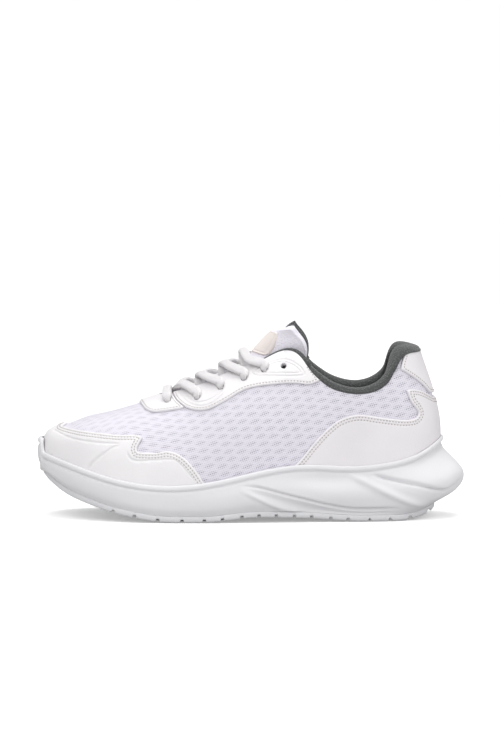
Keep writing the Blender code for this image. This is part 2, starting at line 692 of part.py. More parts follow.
def edge_spot(x, side, out):
    """A point over or under the throat's edge."""
    theta = np.array([float(theta_of(x, side))])
    return layer(theta, throat_t(theta), np.array([float(out)]))[0]


def crossing(number, side):
    """From under eyelet NUMBER on one side, over the tongue, into the next eyelet on the other side."""
    (x0, z0), (x1, z1) = EYELETS[number], EYELETS[number + 1]
    middle = (x0 + x1) / 2
    steep = float(crest(middle + 1) - crest(middle - 1)) / 2
    lean = steep * (float(crest(middle)) - (z0 + z1) / 2)
    y0 = float(centre(x0))
    lift = 3.4 if side < 0 else 6.4
    return [eyelet_spot(number, side, -6.0, 2.5), edge_spot(max(x0, -53), side, -6.0),
            throat_height(middle - lean, y0, lift),
            edge_spot(x1 - 5, -side, 4.2), eyelet_spot(number + 1, -side, 4.2, 5.0)]


def through(number, side):
    """Down an eyelet from outside."""
    return [eyelet_spot(number, side, 3.6, 1.4), eyelet_spot(number, side, 1.0), eyelet_spot(number, side, -4.4)]


# A tail's way down inside the upper after the last laced eyelet, as (x, height) against the quarter's lining
TAIL = [(5, 93), (-8, 85), (-22, 77), (-36, 70), (-47, 65.5), (-54, 60), (-50, 54), (-38, 54.5), (-24, 59.5),
        (-10, 66), (2, 73), (11, 76), (17, 72), (12, 65.5), (0, 60), (-14, 53), (-28, 46.5), (-42, 41)]
TAIL_DEPTH = -6.3


def half_lace(side):
    """From the middle of the bar over the first pair of eyelets to the end of one tail."""
    points, here = [], side
    bar = eyelet_spot(0, here, 4.4, 5.0)
    points += [bar] + through(0, here)
    for number in range(4):
        points += crossing(number, here)
        here = -here
        points += through(number + 1, here)
    points.append(eyelet_spot(4, here, -6.5, -2.0))
    for count, (x, z) in enumerate(TAIL):
        points.append(off_last(x, z, here, TAIL_DEPTH - 2.0 * smoothstep(count, len(TAIL) - 4, len(TAIL) - 1)))
    return points


def smooth(points, within, longest):
    """Points along a curve through these, so far apart that its chords stay this close to it."""
    pts = np.array(points, float)
    pts = np.vstack([2 * pts[0] - pts[1], pts, 2 * pts[-1] - pts[-2]])
    dense = []
    for i in range(1, len(pts) - 2):
        for u in np.linspace(0, 1, 12, endpoint=False):
            a, b, c, d = pts[i - 1 : i + 3]
            dense.append(0.5 * (2 * b + (c - a) * u + (2 * a - 5 * b + 4 * c - d) * u**2
                                + (3 * b - a - 3 * c + d) * u**3))
    dense.append(pts[-2])
    dense = np.array(dense)
    kept = [0]
    while kept[-1] < len(dense) - 1:
        start = kept[-1]
        best = start + 1
        for end in range(start + 2, len(dense)):
            chord = dense[end] - dense[start]
            length = np.linalg.norm(chord)
            off = dense[start + 1 : end] - dense[start]
            aside = np.linalg.norm(np.cross(off, chord / length), axis=1).max()
            if length > longest or aside > within:
                break
            best = end
        kept.append(best)
    return dense[kept]


def tube(parts, name, look, line, radius):
    """A round tube along a line, as a mesh with closed ends."""
    curve = bpy.data.curves.new(name, "CURVE")
    curve.dimensions = "3D"
    curve.bevel_depth, curve.bevel_resolution, curve.use_fill_caps = radius * MM, 2, True
    run = curve.splines.new("POLY")
    run.points.add(len(line) - 1)
    for point, place in zip(run.points, line):
        point.co = (*(place * MM), 1)
    curve.materials.append(material(*look))
    obj = bpy.data.objects.new(name, curve)
    parts.objects.link(obj)
    return obj


AGLET_LONG, AGLET_R = 20.0, 1.7


def lace(parts):
    first, second = half_lace(-1), half_lace(1)
    bar_height = (first[0] + second[0]) / 2 + np.array([0, 0, 3.0])
    line = smooth(first[::-1] + [bar_height] + second, 0.25, 10.0)
    tube(parts, "shoelace", LACE_WHITE, line, LACE_R)
    for label, end, before in (("a", line[0], line[1]), ("b", line[-1], line[-2])):
        way = (end - before) / np.linalg.norm(end - before)
        start = end + way * GAP
        tube(parts, "aglet_" + label, AGLET_CLEAR, np.array([start, start + way * AGLET_LONG]), AGLET_R)


def cut_eyelets(parts, cutters):
    """Punches the eyelets through every layer that they cross."""
    for side, label in ((-1, "lateral"), (1, "medial")):
        for number in range(len(EYELETS)):
            theta, t = eyelet_frame(number, side)
            axis = normal(theta, t)
            bpy.ops.mesh.primitive_cylinder_add(vertices=8, radius=EYELET_R * MM, depth=12 * MM)
            cutter = bpy.context.object
            cutter.name = f"eyelet_cutter_{label}_{number + 1}"
            cutter.location = last(theta, t) * MM
            cutter.rotation_euler = Vector(axis).to_track_quat("Z", "Y").to_euler()
            for holder in list(cutter.users_collection):
                holder.objects.unlink(cutter)
            cutters.objects.link(cutter)
            cutter.hide_render, cutter.display_type = True, "WIRE"
            front = "throat_overlay" if number == 0 else "eyestay_" + label
            names = [front, "mesh_upper", "quarter_lining_" + label]
            if number > 0:
                names.append("eyestay_backer_" + label)
            for name in names:
                cut = parts.objects[name].modifiers.new(cutter.name, "BOOLEAN")
                cut.object, cut.operation, cut.solver = cutter, "DIFFERENCE", "EXACT"


def main():
    for obj in list(bpy.data.objects):
        bpy.data.objects.remove(obj, do_unlink=True)
    parts = bpy.data.collections.new("running_shoe")
    cutters = bpy.data.collections.new("cutters")
    for collection in (parts, cutters):
        bpy.context.scene.collection.children.link(collection)
    outsole(parts)
    midsole(parts)
    slab(parts, "strobel_board", BOARD_CREAM, MESH_THICK + 0.5, GAP, GAP + BOARD_THICK)
    slab(parts, "sockliner", DARK_TEXTILE, 6.0, 2.5, 2.5 + SOCKLINER_THICK, rim_lift=2.0, heel_inset=3.2)
    mesh_upper(parts)
    toe_mudguard(parts)
    heel_mudguard(parts)
    heel_tab(parts)
    throat_overlay(parts)
    for label, side in (("lateral", -1), ("medial", 1)):
        eyestay(parts, label, side)
        eyestay_backer(parts, label, side)
        quarter_lining(parts, label, side)
    toe_puff(parts)
    heel_counter(parts)
    vamp_lining(parts)
    collar(parts)
    tongue(parts)
    badge(parts)
    lace(parts)
    cut_eyelets(parts, cutters)


main()
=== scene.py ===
# The looks of a left running shoe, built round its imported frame. The toe points to -X, the heel to +X and the
# outer (lateral) side to -Y. The design is in millimetres and is scaled to metres where a mesh is made. Every
# layer of the upper is an offset of one surface, the last, which runs up from the footprint at t = 0 to the
# instep line or the ankle at t = 1, and round the foot with theta: 0 at the toe, -pi/2 on the outer side,
# pi/2 on the inner side and pi at the heel.

import math

import bmesh
import bpy
import numpy as np
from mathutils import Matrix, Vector


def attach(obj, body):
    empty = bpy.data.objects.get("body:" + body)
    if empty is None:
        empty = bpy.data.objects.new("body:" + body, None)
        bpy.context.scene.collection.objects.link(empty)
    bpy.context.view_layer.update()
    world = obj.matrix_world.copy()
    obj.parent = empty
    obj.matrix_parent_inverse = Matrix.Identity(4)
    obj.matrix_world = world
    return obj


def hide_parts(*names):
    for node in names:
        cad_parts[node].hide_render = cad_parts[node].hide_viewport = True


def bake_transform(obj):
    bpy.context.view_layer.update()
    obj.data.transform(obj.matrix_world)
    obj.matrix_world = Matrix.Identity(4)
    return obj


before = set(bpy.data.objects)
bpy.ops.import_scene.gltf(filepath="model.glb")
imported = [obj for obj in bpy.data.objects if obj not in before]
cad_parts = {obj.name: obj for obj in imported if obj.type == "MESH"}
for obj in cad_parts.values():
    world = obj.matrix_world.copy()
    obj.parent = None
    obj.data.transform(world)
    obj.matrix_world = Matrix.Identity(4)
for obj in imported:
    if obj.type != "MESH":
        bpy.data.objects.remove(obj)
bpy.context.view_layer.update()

MM = 0.001
TURN = 2 * math.pi
TOE_X, HEEL_X = -140.0, 127.0  # ends of the upper's footprint
MID_X, HALF = (TOE_X + HEEL_X) / 2, (HEEL_X - TOE_X) / 2
OUTSOLE_THICK, TREAD_DEPTH = 4.0, 1.7
OVERLAY_IN, OVERLAY_OUT = 0.2, 1.9
LINING_OUT, LINING_IN = -3.4, -4.4
EYELET_R = 2.0
LACE_WIDE, LACE_THICK = 6.6, 4.2
HEEL_LEAN, TOE_DROP = 8.5, 3.4  # how far the heel leans forward at the top, and the toe slopes down

# Camera: level with the shoe, a little above it, square to its outer side
FRAME_WIDTH = 0.340  # metres seen across the image at the shoe
CAMERA_FAR = 3.0
CAMERA_RISE = math.radians(4.5)
AIM = Vector((0.0, 0.0, 0.0956))


# Curves and the last --------------------------------------------------------------------------------------

def spline(points):
    """A smooth curve through (x, y) points, level past its ends."""
    xs, ys = np.array(points, float).T
    n, h = len(xs), np.diff(xs)
    a, b = np.eye(n), np.zeros(n)
    for i in range(1, n - 1):
        a[i, i - 1 : i + 2] = h[i - 1], 2 * (h[i - 1] + h[i]), h[i]
        b[i] = 6 * ((ys[i + 1] - ys[i]) / h[i] - (ys[i] - ys[i - 1]) / h[i - 1])
    m = np.linalg.solve(a, b)

    def at(x):
        x = np.clip(x, xs[0], xs[-1])
        i = np.clip(np.searchsorted(xs, x, "right") - 1, 0, n - 2)
        left, right = x - xs[i], xs[i + 1] - x
        bend = (m[i] * right**3 + m[i + 1] * left**3) / (6 * h[i])
        return (bend + (ys[i] / h[i] - m[i] * h[i] / 6) * right
                + (ys[i + 1] / h[i] - m[i + 1] * h[i] / 6) * left)

    return at


def straight(points):
    """Straight runs through (x, y) points."""
    xs, ys = np.array(points, float).T
    return lambda x: np.interp(x, xs, ys)


def smoothstep(x, low, high):
    u = np.clip((x - low) / (high - low), 0, 1)
    return u * u * (3 - 2 * u)


centre = spline([(-140, 8), (-110, 5), (-75, 1.5), (-40, 0), (0, -3), (40, -3), (80, -1.5), (127, 0)])
width = spline([(-140, 58), (-120, 62), (-100, 59), (-75, 55.4), (-50, 51.3), (-20, 46.7), (10, 42.8),
                (40, 41), (70, 44.5), (95, 52), (115, 61), (127, 64)])
spine_x = spline([(-140, -108), (-120, -102.5), (-100, -91), (-80, -76.5), (-60, -59.5), (-40, -40), (0, 0),
                  (40, 40), (60, 59.5), (80, 75), (100, 85), (115, 89), (127, 90)])
bed = spline([(-140, 31), (-122, 26), (-98, 20.5), (-61, 15.8), (-34, 16.2), (0, 20), (37, 24.5), (70, 26),
              (103, 27), (127, 29)])
crest = spline([(-112, 66.5), (-95, 70.5), (-82, 74.3), (-62, 81), (-35, 91.5), (-19, 98.7), (-3.5, 105.5),
                (10, 112), (26, 119), (45, 126), (70, 131), (92, 131)])
side_pull = spline([(-140, 1.0), (-120, 0.9), (-100, 0.8), (-60, 0.56), (-20, 0.7), (10, 0.74), (40, 0.62),
                    (70, 0.5), (127, 0.5)])
roof_pull = spline([(-140, 0.85), (-120, 0.8), (-100, 0.74), (-60, 0.6), (-20, 0.55), (10, 0.6), (40, 0.55),
                    (127, 0.5)])
ankle_half = straight([(24, 0), (40, 13), (55, 22), (70, 26), (127, 27)])
rim = spline([(-140, 44.5), (-122, 39), (-98, 31.3), (-61, 25.3), (-34, 26.4), (9, 35.3), (37, 38.7),
              (70, 37.5), (86, 38.7), (103, 42), (115, 47), (127, 55)])
topline = spline([(-62, 81), (-50, 84), (-35, 88.5), (-20, 95), (-5, 101.3), (8, 106), (17, 110.5), (26, 113),
                  (31, 112), (36, 107.5), (41, 100.5), (46, 95.5), (54, 89.8), (62, 87), (72, 85.6), (85, 87.6),
                  (92, 91), (98, 96), (103, 102.3), (108, 107.5), (115, 111.4), (122, 112.2), (127, 112.3)])
collar_rise = spline([(36, 3.5), (50, 5), (70, 4.2), (92, 6), (105, 6.5), (127, 4.5)])
collar_thick = spline([(36, 7.5), (50, 8.5), (70, 9.5), (127, 10.5)])
underside = spline([(-142, 29), (-126, 18), (-112, 12.3), (-92, 6), (-77, 2.9), (-62, 0.6), (-50, 0), (-36, 0),
                    (-20, 0.9), (-4, 2.9), (8, 3.4), (27, 2.9), (42, 2.2), (60, 0.7), (74, 0), (101, 0),
                    (113, 1.6), (123, 4.5), (134, 10)])
EYELETS = [(-55.4, 78.4), (-35.1, 81.4), (-19.3, 88.5), (-3.5, 94.8), (9.8, 100.6), (22.8, 103.3)]


def under(x):
    """The outsole's underside."""
    return np.maximum(underside(x), 0.0)


def footprint_x(theta):
    return MID_X - HALF * np.cos(theta)


def theta_of(x, side):
    """Theta where the footprint has this x, on the outer (-1) or inner (+1) side."""
    return side * np.arccos(np.clip((MID_X - np.asarray(x, float)) / HALF, -1, 1))


def frame_at(theta):
    """Footprint point, unit direction inwards, distance to the spine, and the spine's x."""
    x = footprint_x(theta)
    y = centre(x) + np.sin(theta) * width(x)
    q = spine_x(x)
    dx, dy = q - x, centre(q) - y
    reach = np.hypot(dx, dy)
    return x, y, dx / reach, dy / reach, reach, q


def last(theta, t):
    """The last's surface, in millimetres."""
    theta, t = np.broadcast_arrays(np.asarray(theta, float), np.asarray(t, float))
    x, y, dx, dy, reach, q = frame_at(theta)
    base = bed(x)
    open_top = smoothstep(x, 24, 70)
    run = reach - ankle_half(x)
    rise = crest(q) - base
    slope = (crest(q + 0.5) - crest(q - 0.5)) * dx
    bulge = 1.5 + 1.0 * smoothstep(x, 80, 127)
    hr = roof_pull(x) * run * (1 - open_top) + 11 * open_top
    hz = slope * roof_pull(x) * run * (1 - open_top) + 0.36 * rise * open_top
    r1, z1 = -bulge, side_pull(x) * rise
    r2, z2 = run - hr, rise - hz
    b1, b2, b3 = 3 * t * (1 - t) ** 2, 3 * t**2 * (1 - t), t**3
    r = b1 * r1 + b2 * r2 + b3 * run
    z = base + b1 * z1 + b2 * z2 + b3 * rise
    px, py = x + dx * r, y + dy * r
    px = px - HEEL_LEAN * smoothstep(z, 55, 118) * smoothstep(px, 80, 118)
    z = z - TOE_DROP * smoothstep(-px, 106, 132) * smoothstep(z, 46, 63)
    return np.stack([px, py, z], -1)


def normal(theta, t):
    """Outward unit normal of the last."""
    theta, t = np.broadcast_arrays(np.asarray(theta, float), np.asarray(t, float))
    e = 1e-4
    tc = np.clip(t, e, 0.985)
    du = last(theta + e, tc) - last(theta - e, tc)
    dv = last(theta, tc + e) - last(theta, tc - e)
    n = np.cross(dv, du)
    n /= np.linalg.norm(n, axis=-1, keepdims=True)
    x, _, _, _, _, q = frame_at(theta)
    slope = crest(q + 0.5) - crest(q - 0.5)
    top = np.stack([-slope, 0 * slope, 1 + 0 * slope], -1)
    top /= np.linalg.norm(top, axis=-1, keepdims=True)
    share = (smoothstep(t, 0.9, 1.0) * (x < 26))[..., None]
    n = n * (1 - share) + top * share
    return n / np.linalg.norm(n, axis=-1, keepdims=True)


def layer(theta, t, out):
    """A point on the layer this far outside the last."""
    return last(theta, t) + normal(theta, t) * np.asarray(out)[..., None]


def t_at(theta, height):
    """The t at which the last reaches a height."""
    theta, height = np.broadcast_arrays(np.asarray(theta, float), np.asarray(height, float))
    ts = np.linspace(0, 1, 161)
    z = last(theta[..., None], ts)[..., 2]
    flat_z, flat_h = z.reshape(-1, len(ts)), height.reshape(-1)
    found = [np.interp(h, row, ts) for row, h in zip(flat_z, flat_h)]
    return np.array(found).reshape(theta.shape)


def edge_t(thetas, curve, lift=0.0):
    """t along an edge given by its height against the footprint's x."""
    return t_at(thetas, curve(footprint_x(thetas)) + lift)


def throat_t(thetas, drop=0.0):
    """The upper's free edge: the crest ahead of the throat, then the throat's and collar's line."""
    t = edge_t(thetas, topline, -drop)
    return np.where(footprint_x(thetas) < -61.5, 1.0, t)


def locate(points, side, out, axes=(0, 2), start=None):
    """Theta and t of the spots on a layer that have these coordinates, found by Newton's method."""
    points = np.asarray(points, float)
    if start is None:
        theta = theta_of(np.clip(points[:, 0], -136, 124), side)
        t = np.clip(t_at(theta, points[:, 2]), 0.05, 0.95)
    else:
        theta, t = (np.array(v, float) for v in start)
    axes, e = list(axes), 1e-4
    for _ in range(25):
        p = layer(theta, t, np.full(len(t), out))[:, axes]
        a = (last(theta + e, t) - last(theta - e, t))[:, axes] / (2 * e)
        b = (last(theta, t + e) - last(theta, t - e))[:, axes] / (2 * e)
        r = points[:, axes] - p
        aa, bb, ab = (a * a).sum(1) + 1e-3, (b * b).sum(1) + 1e-3, (a * b).sum(1)
        ar, br = (a * r).sum(1), (b * r).sum(1)
        det = aa * bb - ab * ab
        theta = theta + np.clip((ar * bb - br * ab) / det, -0.08, 0.08)
        t = np.clip(t + np.clip((br * aa - ar * ab) / det, -0.08, 0.08), 0.001, 1.0)
    return theta, t


# Lines ----------------------------------------------------------------------------------------------------

def through_points(points, step):
    """Points about STEP apart on a smooth curve through these."""
    pts = np.array(points, float)
    pts = np.vstack([2 * pts[0] - pts[1], pts, 2 * pts[-1] - pts[-2]])
    out = []
    for i in range(1, len(pts) - 2):
        a, b, c, d = pts[i - 1 : i + 3]
        for u in np.linspace(0, 1, max(2, int(np.linalg.norm(c - b) / step)), endpoint=False):
            out.append(0.5 * (2 * b + (c - a) * u + (2 * a - 5 * b + 4 * c - d) * u**2
                              + (3 * b - a - 3 * c + d) * u**3))
    out.append(pts[-2])
    return np.array(out)


def even(line, step):
    """The same line with points an even STEP apart."""
    line = np.asarray(line, float)
    run = np.concatenate([[0], np.cumsum(np.linalg.norm(np.diff(line, axis=0), axis=1))])
    places = np.linspace(0, run[-1], max(2, int(round(run[-1] / step)) + 1))
    return np.stack([np.interp(places, run, column) for column in line.T], -1)


def side_line(runs, side, out=OVERLAY_OUT):
    """Theta and t along smooth (x, height) runs seen from the side; corners stay where runs meet."""
    whole = np.vstack([through_points(run, 1.0) for run in runs])
    keep = np.concatenate([[True], np.linalg.norm(np.diff(whole, axis=0), axis=1) > 1e-6])
    whole = whole[keep]
    points = np.stack([whole[:, 0], np.zeros(len(whole)), whole[:, 1]], -1)
    return np.stack(locate(points, side, out), -1)


def off_line(points, line, ups=None):
    """Distance from each point to a line, signed by side where UPS gives the surface's normals."""
    a, b = line[:-1], line[1:]
    d = b - a
    sizes = np.maximum((d * d).sum(1), 1e-12)
    found = np.empty(len(points))
    for k in range(0, len(points), 1500):
        p = points[k : k + 1500]
        u = np.clip(((p[:, None] - a) * d).sum(2) / sizes, 0, 1)
        gap = p[:, None] - (a + u[..., None] * d)
        far = np.linalg.norm(gap, axis=2)
        near = far.argmin(1)
        i = np.arange(len(p))
        found[k : k + 1500] = far[i, near]
        if ups is not None:
            sign = (np.cross(d[near], gap[i, near]) * ups[k : k + 1500]).sum(1)
            found[k : k + 1500] *= np.where(sign < 0, -1, 1)
    return found


def inside(points, outline):
    """Whether each (theta, t) lies inside a closed outline."""
    a, b = outline, np.roll(outline, -1, axis=0)
    hit = np.zeros(len(points), bool)
    for k in range(0, len(points), 1500):
        p = points[k : k + 1500, None]
        crosses = (a[:, 1] > p[..., 1]) != (b[:, 1] > p[..., 1])
        rise = np.where(b[:, 1] == a[:, 1], 1, b[:, 1] - a[:, 1])
        at = a[:, 0] + (p[..., 1] - a[:, 1]) * (b[:, 0] - a[:, 0]) / rise
        hit[k : k + 1500] = (crosses & (p[..., 0] < at)).sum(1) % 2 == 1
    return hit


# Meshes ---------------------------------------------------------------------------------------------------

def piece(name, points, faces, look, replaces=(), body="shoe", uv=None, sharp=None):
    """One visible piece, in place, riding on its body."""
    mesh = bpy.data.meshes.new(name)
    mesh.from_pydata((np.asarray(points) * MM).tolist(), [], [list(map(int, f)) for f in faces])
    work = bmesh.new()
    work.from_mesh(mesh)
    bmesh.ops.recalc_face_normals(work, faces=work.faces)
    work.to_mesh(mesh)
    work.free()
    mesh.shade_smooth()
    if sharp is not None:
        mesh.set_sharp_from_angle(angle=math.radians(sharp))
    mesh.materials.append(look)
    if uv is not None:
        corners = np.empty(len(mesh.loops), dtype=np.int32)
        mesh.loops.foreach_get("vertex_index", corners)
        mesh.uv_layers.new(name="cloth").data.foreach_set("uv", np.asarray(uv, np.float32)[corners].ravel())
    obj = bpy.data.objects.new(name, mesh)
    bpy.context.scene.collection.objects.link(obj)
    if body is not None:
        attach(obj, body)
    if replaces:
        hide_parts(*replaces)
    return obj


def loft(rings, round_way, closed_rings=True, cap=False):
    """Points and quads through successive rings; ROUND_WAY joins the last ring to the first."""
    rings = np.asarray(rings)
    n, m = rings.shape[:2]
    quads = []
    for i in range(n if round_way else n - 1):
        k = (i + 1) % n
        for j in range(m if closed_rings else m - 1):
            l = (j + 1) % m
            quads.append((i * m + j, i * m + l, k * m + l, k * m + j))
    if cap:
        quads += [tuple(range(m))[::-1], tuple(range((n - 1) * m, n * m))]
    return rings.reshape(-1, 3), quads


def along_t(low, high, rows):
    """Values of t from LOW to HIGH at each theta, as rows of (theta, row)."""
    return low[:, None] + (high - low)[:, None] * np.linspace(0, 1, rows + 1)


def band_rings(thetas, low, high, outer, inner, rows):
    """Closed rings of a layer of the upper with a rounded upper edge."""
    ts = along_t(low, high, rows)
    length = np.linalg.norm(np.diff(last(thetas[:, None], ts), axis=1), axis=2).sum(1)
    give = ((high - low) / np.maximum(length, 1))[:, None]
    bend = np.radians([90, 60, 30, 0, -30, -60, -90])
    half = (outer - inner) / 2
    round_t = high[:, None] + give * (np.cos(bend) - 1) * half
    round_out = (outer + inner) / 2 + np.sin(bend) * half
    rest = ts[:, :-1]
    t_all = np.concatenate([rest, round_t, rest[:, ::-1]], 1)
    o_all = np.concatenate([np.full(rest.shape[1], outer), round_out, np.full(rest.shape[1], inner)])
    return layer(thetas[:, None], t_all, np.broadcast_to(o_all, t_all.shape))


class Patch:
    """A triangle mesh in theta and t that carries more values at its corners and can be cut at their levels."""

    def __init__(self, thetas, ts):
        n, m = ts.shape
        self.values = np.stack([np.repeat(thetas, m), ts.ravel()], -1)
        grid = np.arange(n * m).reshape(n, m)
        a, b, c, d = (g.ravel() for g in (grid[:-1, :-1], grid[1:, :-1], grid[1:, 1:], grid[:-1, 1:]))
        self.tris = np.concatenate([np.stack([a, c, b], -1), np.stack([a, d, c], -1)])
        border = np.ones((n, m), bool)
        border[1:-1, 1:-1] = False
        self.locked = border.ravel()

    def spots(self):
        return last(self.values[:, 0], self.values[:, 1])

    def add(self, column):
        self.values = np.column_stack([self.values, column])
        return self.values.shape[1] - 1

    def edges(self):
        both = np.sort(np.concatenate([self.tris[:, [0, 1]], self.tris[:, [1, 2]], self.tris[:, [2, 0]]]), axis=1)
        return np.unique(both, axis=0)

    def crossing_edges(self, edges, off, honest):
        """Edges that cross the level; an honest value changes no faster than the distance it measures."""
        va, vb = off[edges[:, 0]], off[edges[:, 1]]
        cross = va * vb < 0
        if honest:
            spots = self.spots()
            length = np.linalg.norm(spots[edges[:, 0]] - spots[edges[:, 1]], axis=1)
            cross &= np.abs(va - vb) < 1.3 * length + 0.05
        return cross, va, vb

    def cut(self, column, level, honest=False):
        """Splits triangles along a level of one value."""
        off = self.values[:, column] - level
        edges = self.edges()
        cross, va, vb = self.crossing_edges(edges, off, honest)
        for (a, b), x, y in zip(edges[cross], va[cross], vb[cross]):
            share = x / (x - y)
            for corner, other, f in ((a, b, share), (b, a, 1 - share)):
                if f < 0.22 and not self.locked[corner]:
                    self.values[corner] += (self.values[other] - self.values[corner]) * f
                    off[corner] = 0
                    self.locked[corner] = True
        off[np.abs(off) < 1e-9] = 0
        cross, va, vb = self.crossing_edges(edges, off, honest)
        cut_edges = edges[cross]
        share = (va / (va - vb + 1e-30))[cross][:, None]
        fresh = self.values[cut_edges[:, 0]] * (1 - share) + self.values[cut_edges[:, 1]] * share
        index = {(int(a), int(b)): len(self.values) + k for k, (a, b) in enumerate(cut_edges)}
        self.values = np.vstack([self.values, fresh])
        self.locked = np.concatenate([self.locked, np.ones(len(fresh), bool)])
        side = np.sign(off)
        s = side[self.tris]
        mixed = (s.max(1) > 0) & (s.min(1) < 0)
        kept, made = self.tris[~mixed], []
        for tri in self.tris[mixed]:
            ids = []
            for k in range(3):
                a, b = int(tri[k]), int(tri[(k + 1) % 3])
                ids.append(a)
                new = index.get((min(a, b), max(a, b)))
                if new is not None:
                    ids.append(new)
            if len(ids) == 4:
                k = next(i for i in range(4) if ids[i] >= len(off))
                ids = ids[k:] + ids[:k]
                made += [(ids[0], ids[1], ids[2]), (ids[0], ids[2], ids[3])]
            elif len(ids) == 5:
                k = next(i for i in range(5) if ids[i] >= len(off) and ids[(i + 2) % 5] >= len(off))
                ids = ids[k:] + ids[:k]
                made += [(ids[0], ids[1], ids[2]), (ids[0], ids[2], ids[3]), (ids[0], ids[3], ids[4])]
            else:
                made.append(tuple(tri))
        self.tris = np.vstack([kept, np.array(made, int).reshape(-1, 3)])

    def keep(self, column, level=0.0):
        """Drops what lies below a level of one value, which has to be cut already."""
        middle = self.values[self.tris][:, :, column].mean(1)
        self.tris = self.tris[middle > level]


EDGE_CUTS = (0.12, 0.35, 0.8)


def edge_height(distance):
    """How thick a cut sheet is near its edge, as a share."""
    return np.interp(distance, [0, 0.12, 0.35, 0.8], [0.35, 0.68, 0.92, 1.0])


def stitches(name, rows, look, pitch=2.1, long=1.25, thick=0.36):
    """Rows of sewn thread, each stitch a small rounded bar half sunk into the sheet."""
    points, faces = [], []
    bends = np.radians([0, 60, 120, 180, 240, 300])
    for line, ups in rows:
        both = even(np.hstack([line, ups]), pitch)
        spots, ups_here = both[:, :3], both[:, 3:]
        way = np.gradient(spots, axis=0)
        gaps = np.linalg.norm(way, axis=1, keepdims=True)
        way = way / np.maximum(gaps, 1e-9)
        for spot, up, ahead, gap in zip(spots, ups_here, way, gaps[:, 0]):
            if gap > pitch * 1.6:
                continue
            up = up / np.linalg.norm(up)
            across = np.cross(up, ahead)
            start = len(points)
            for place, size in ((-0.5, 0.25), (-0.36, 0.85), (0.0, 1.0), (0.36, 0.85), (0.5, 0.25)):
                middle = spot + ahead * long * place + up * thick * (0.35 - 0.5 * (1 - size))
                for bend in bends:
                    points.append(middle + (across * math.cos(bend) + up * math.sin(bend)) * thick * size)
            for k in range(4):
                for j in range(6):
                    i = (j + 1) % 6
                    near = start + k * 6
                    faces.append((near + j, near + i, near + 6 + i, near + 6 + j))
            faces.append(tuple(range(start, start + 6))[::-1])
            faces.append(tuple(range(start + 24, start + 30)))
    return piece(name, np.array(points), faces, look)


# Materials ------------------------------------------------------------------------------------------------

class Look:
    """A node material under construction: a Principled shader and short ways to add nodes."""

    def __init__(self, name, rough, sheen=0.0, specular=0.5):
        self.mat = bpy.data.materials.new(name)
        self.mat.use_nodes = True
        self.tree = self.mat.node_tree
        self.shader = self.tree.nodes["Principled BSDF"]
        self.shader.inputs["Roughness"].default_value = rough
        self.shader.inputs["Sheen Weight"].default_value = sheen
        self.shader.inputs["Sheen Roughness"].default_value = 0.5
        self.shader.inputs["Specular IOR Level"].default_value = specular
        self.place = self.tree.nodes.new("ShaderNodeTexCoord")

    def put(self, socket, value):
        if isinstance(value, bpy.types.NodeSocket):
            self.tree.links.new(value, socket)
        else:
            socket.default_value = value

    def maths(self, operation, *values, clamp=False):
        node = self.tree.nodes.new("ShaderNodeMath")
        node.operation, node.use_clamp = operation, clamp
        for socket, value in zip(node.inputs, values):
            self.put(socket, value)
        return node.outputs[0]

    def step(self, value, low, high, to_low=0.0, to_high=1.0):
        node = self.tree.nodes.new("ShaderNodeMapRange")
        node.interpolation_type = "SMOOTHSTEP"
        for socket, number in zip(node.inputs, (value, low, high, to_low, to_high)):
            self.put(socket, number)
        return node.outputs[0]

    def noise(self, scale, detail=3.0, stretch=(1, 1, 1)):
        moved = self.tree.nodes.new("ShaderNodeMapping")
        moved.inputs["Scale"].default_value = stretch
        self.put(moved.inputs[0], self.place.outputs["Object"])
        node = self.tree.nodes.new("ShaderNodeTexNoise")
        node.inputs["Scale"].default_value = scale
        node.inputs["Detail"].default_value = detail
        self.put(node.inputs["Vector"], moved.outputs[0])
        return node.outputs["Fac"]

    def cells(self, scale):
        node = self.tree.nodes.new("ShaderNodeTexVoronoi")
        node.inputs["Scale"].default_value = scale
        self.put(node.inputs["Vector"], self.place.outputs["Object"])
        return node.outputs["Distance"]

    def cloth_place(self):
        """The two directions of the cloth's own coordinates, in millimetres."""
        node = self.tree.nodes.new("ShaderNodeSeparateXYZ")
        self.put(node.inputs[0], self.place.outputs["UV"])
        return node.outputs[0], node.outputs[1]

    def mix(self, share, first, second):
        node = self.tree.nodes.new("ShaderNodeMix")
        node.data_type = "RGBA"
        self.put(node.inputs["Factor"], share)
        for socket, value in ((node.inputs[6], first), (node.inputs[7], second)):
            self.put(socket, value if isinstance(value, bpy.types.NodeSocket) else (*value, 1))
        return node.outputs[2]

    def colour(self, value):
        self.put(self.shader.inputs["Base Color"], value)

    def roughness(self, value):
        self.put(self.shader.inputs["Roughness"], value)

    def bump(self, height, depth, strength=1.0):
        """Bumps this deep, in metres, for heights from 0 to 1."""
        node = self.tree.nodes.new("ShaderNodeBump")
        node.inputs["Strength"].default_value = strength
        node.inputs["Distance"].default_value = depth
        self.put(node.inputs["Height"], height)
        self.put(self.shader.inputs["Normal"], node.outputs[0])


def leather(name, light, shade, rough):
    """Smooth synthetic leather: fine pebble grain, faint clouding."""
    look = Look(name, rough, specular=0.45)
    cloud = look.step(look.noise(26.0, 2.0), 0.35, 0.68)
    look.colour(look.mix(cloud, light, shade))
    grain = look.maths("ADD", look.maths("MULTIPLY", look.cells(1150.0), 0.8), look.noise(2600.0, 2.0))
    look.roughness(look.step(look.noise(420.0, 2.0), 0.3, 0.7, rough - 0.05, rough + 0.08))
    look.bump(grain, 0.00011, 0.55)
    return look.mat


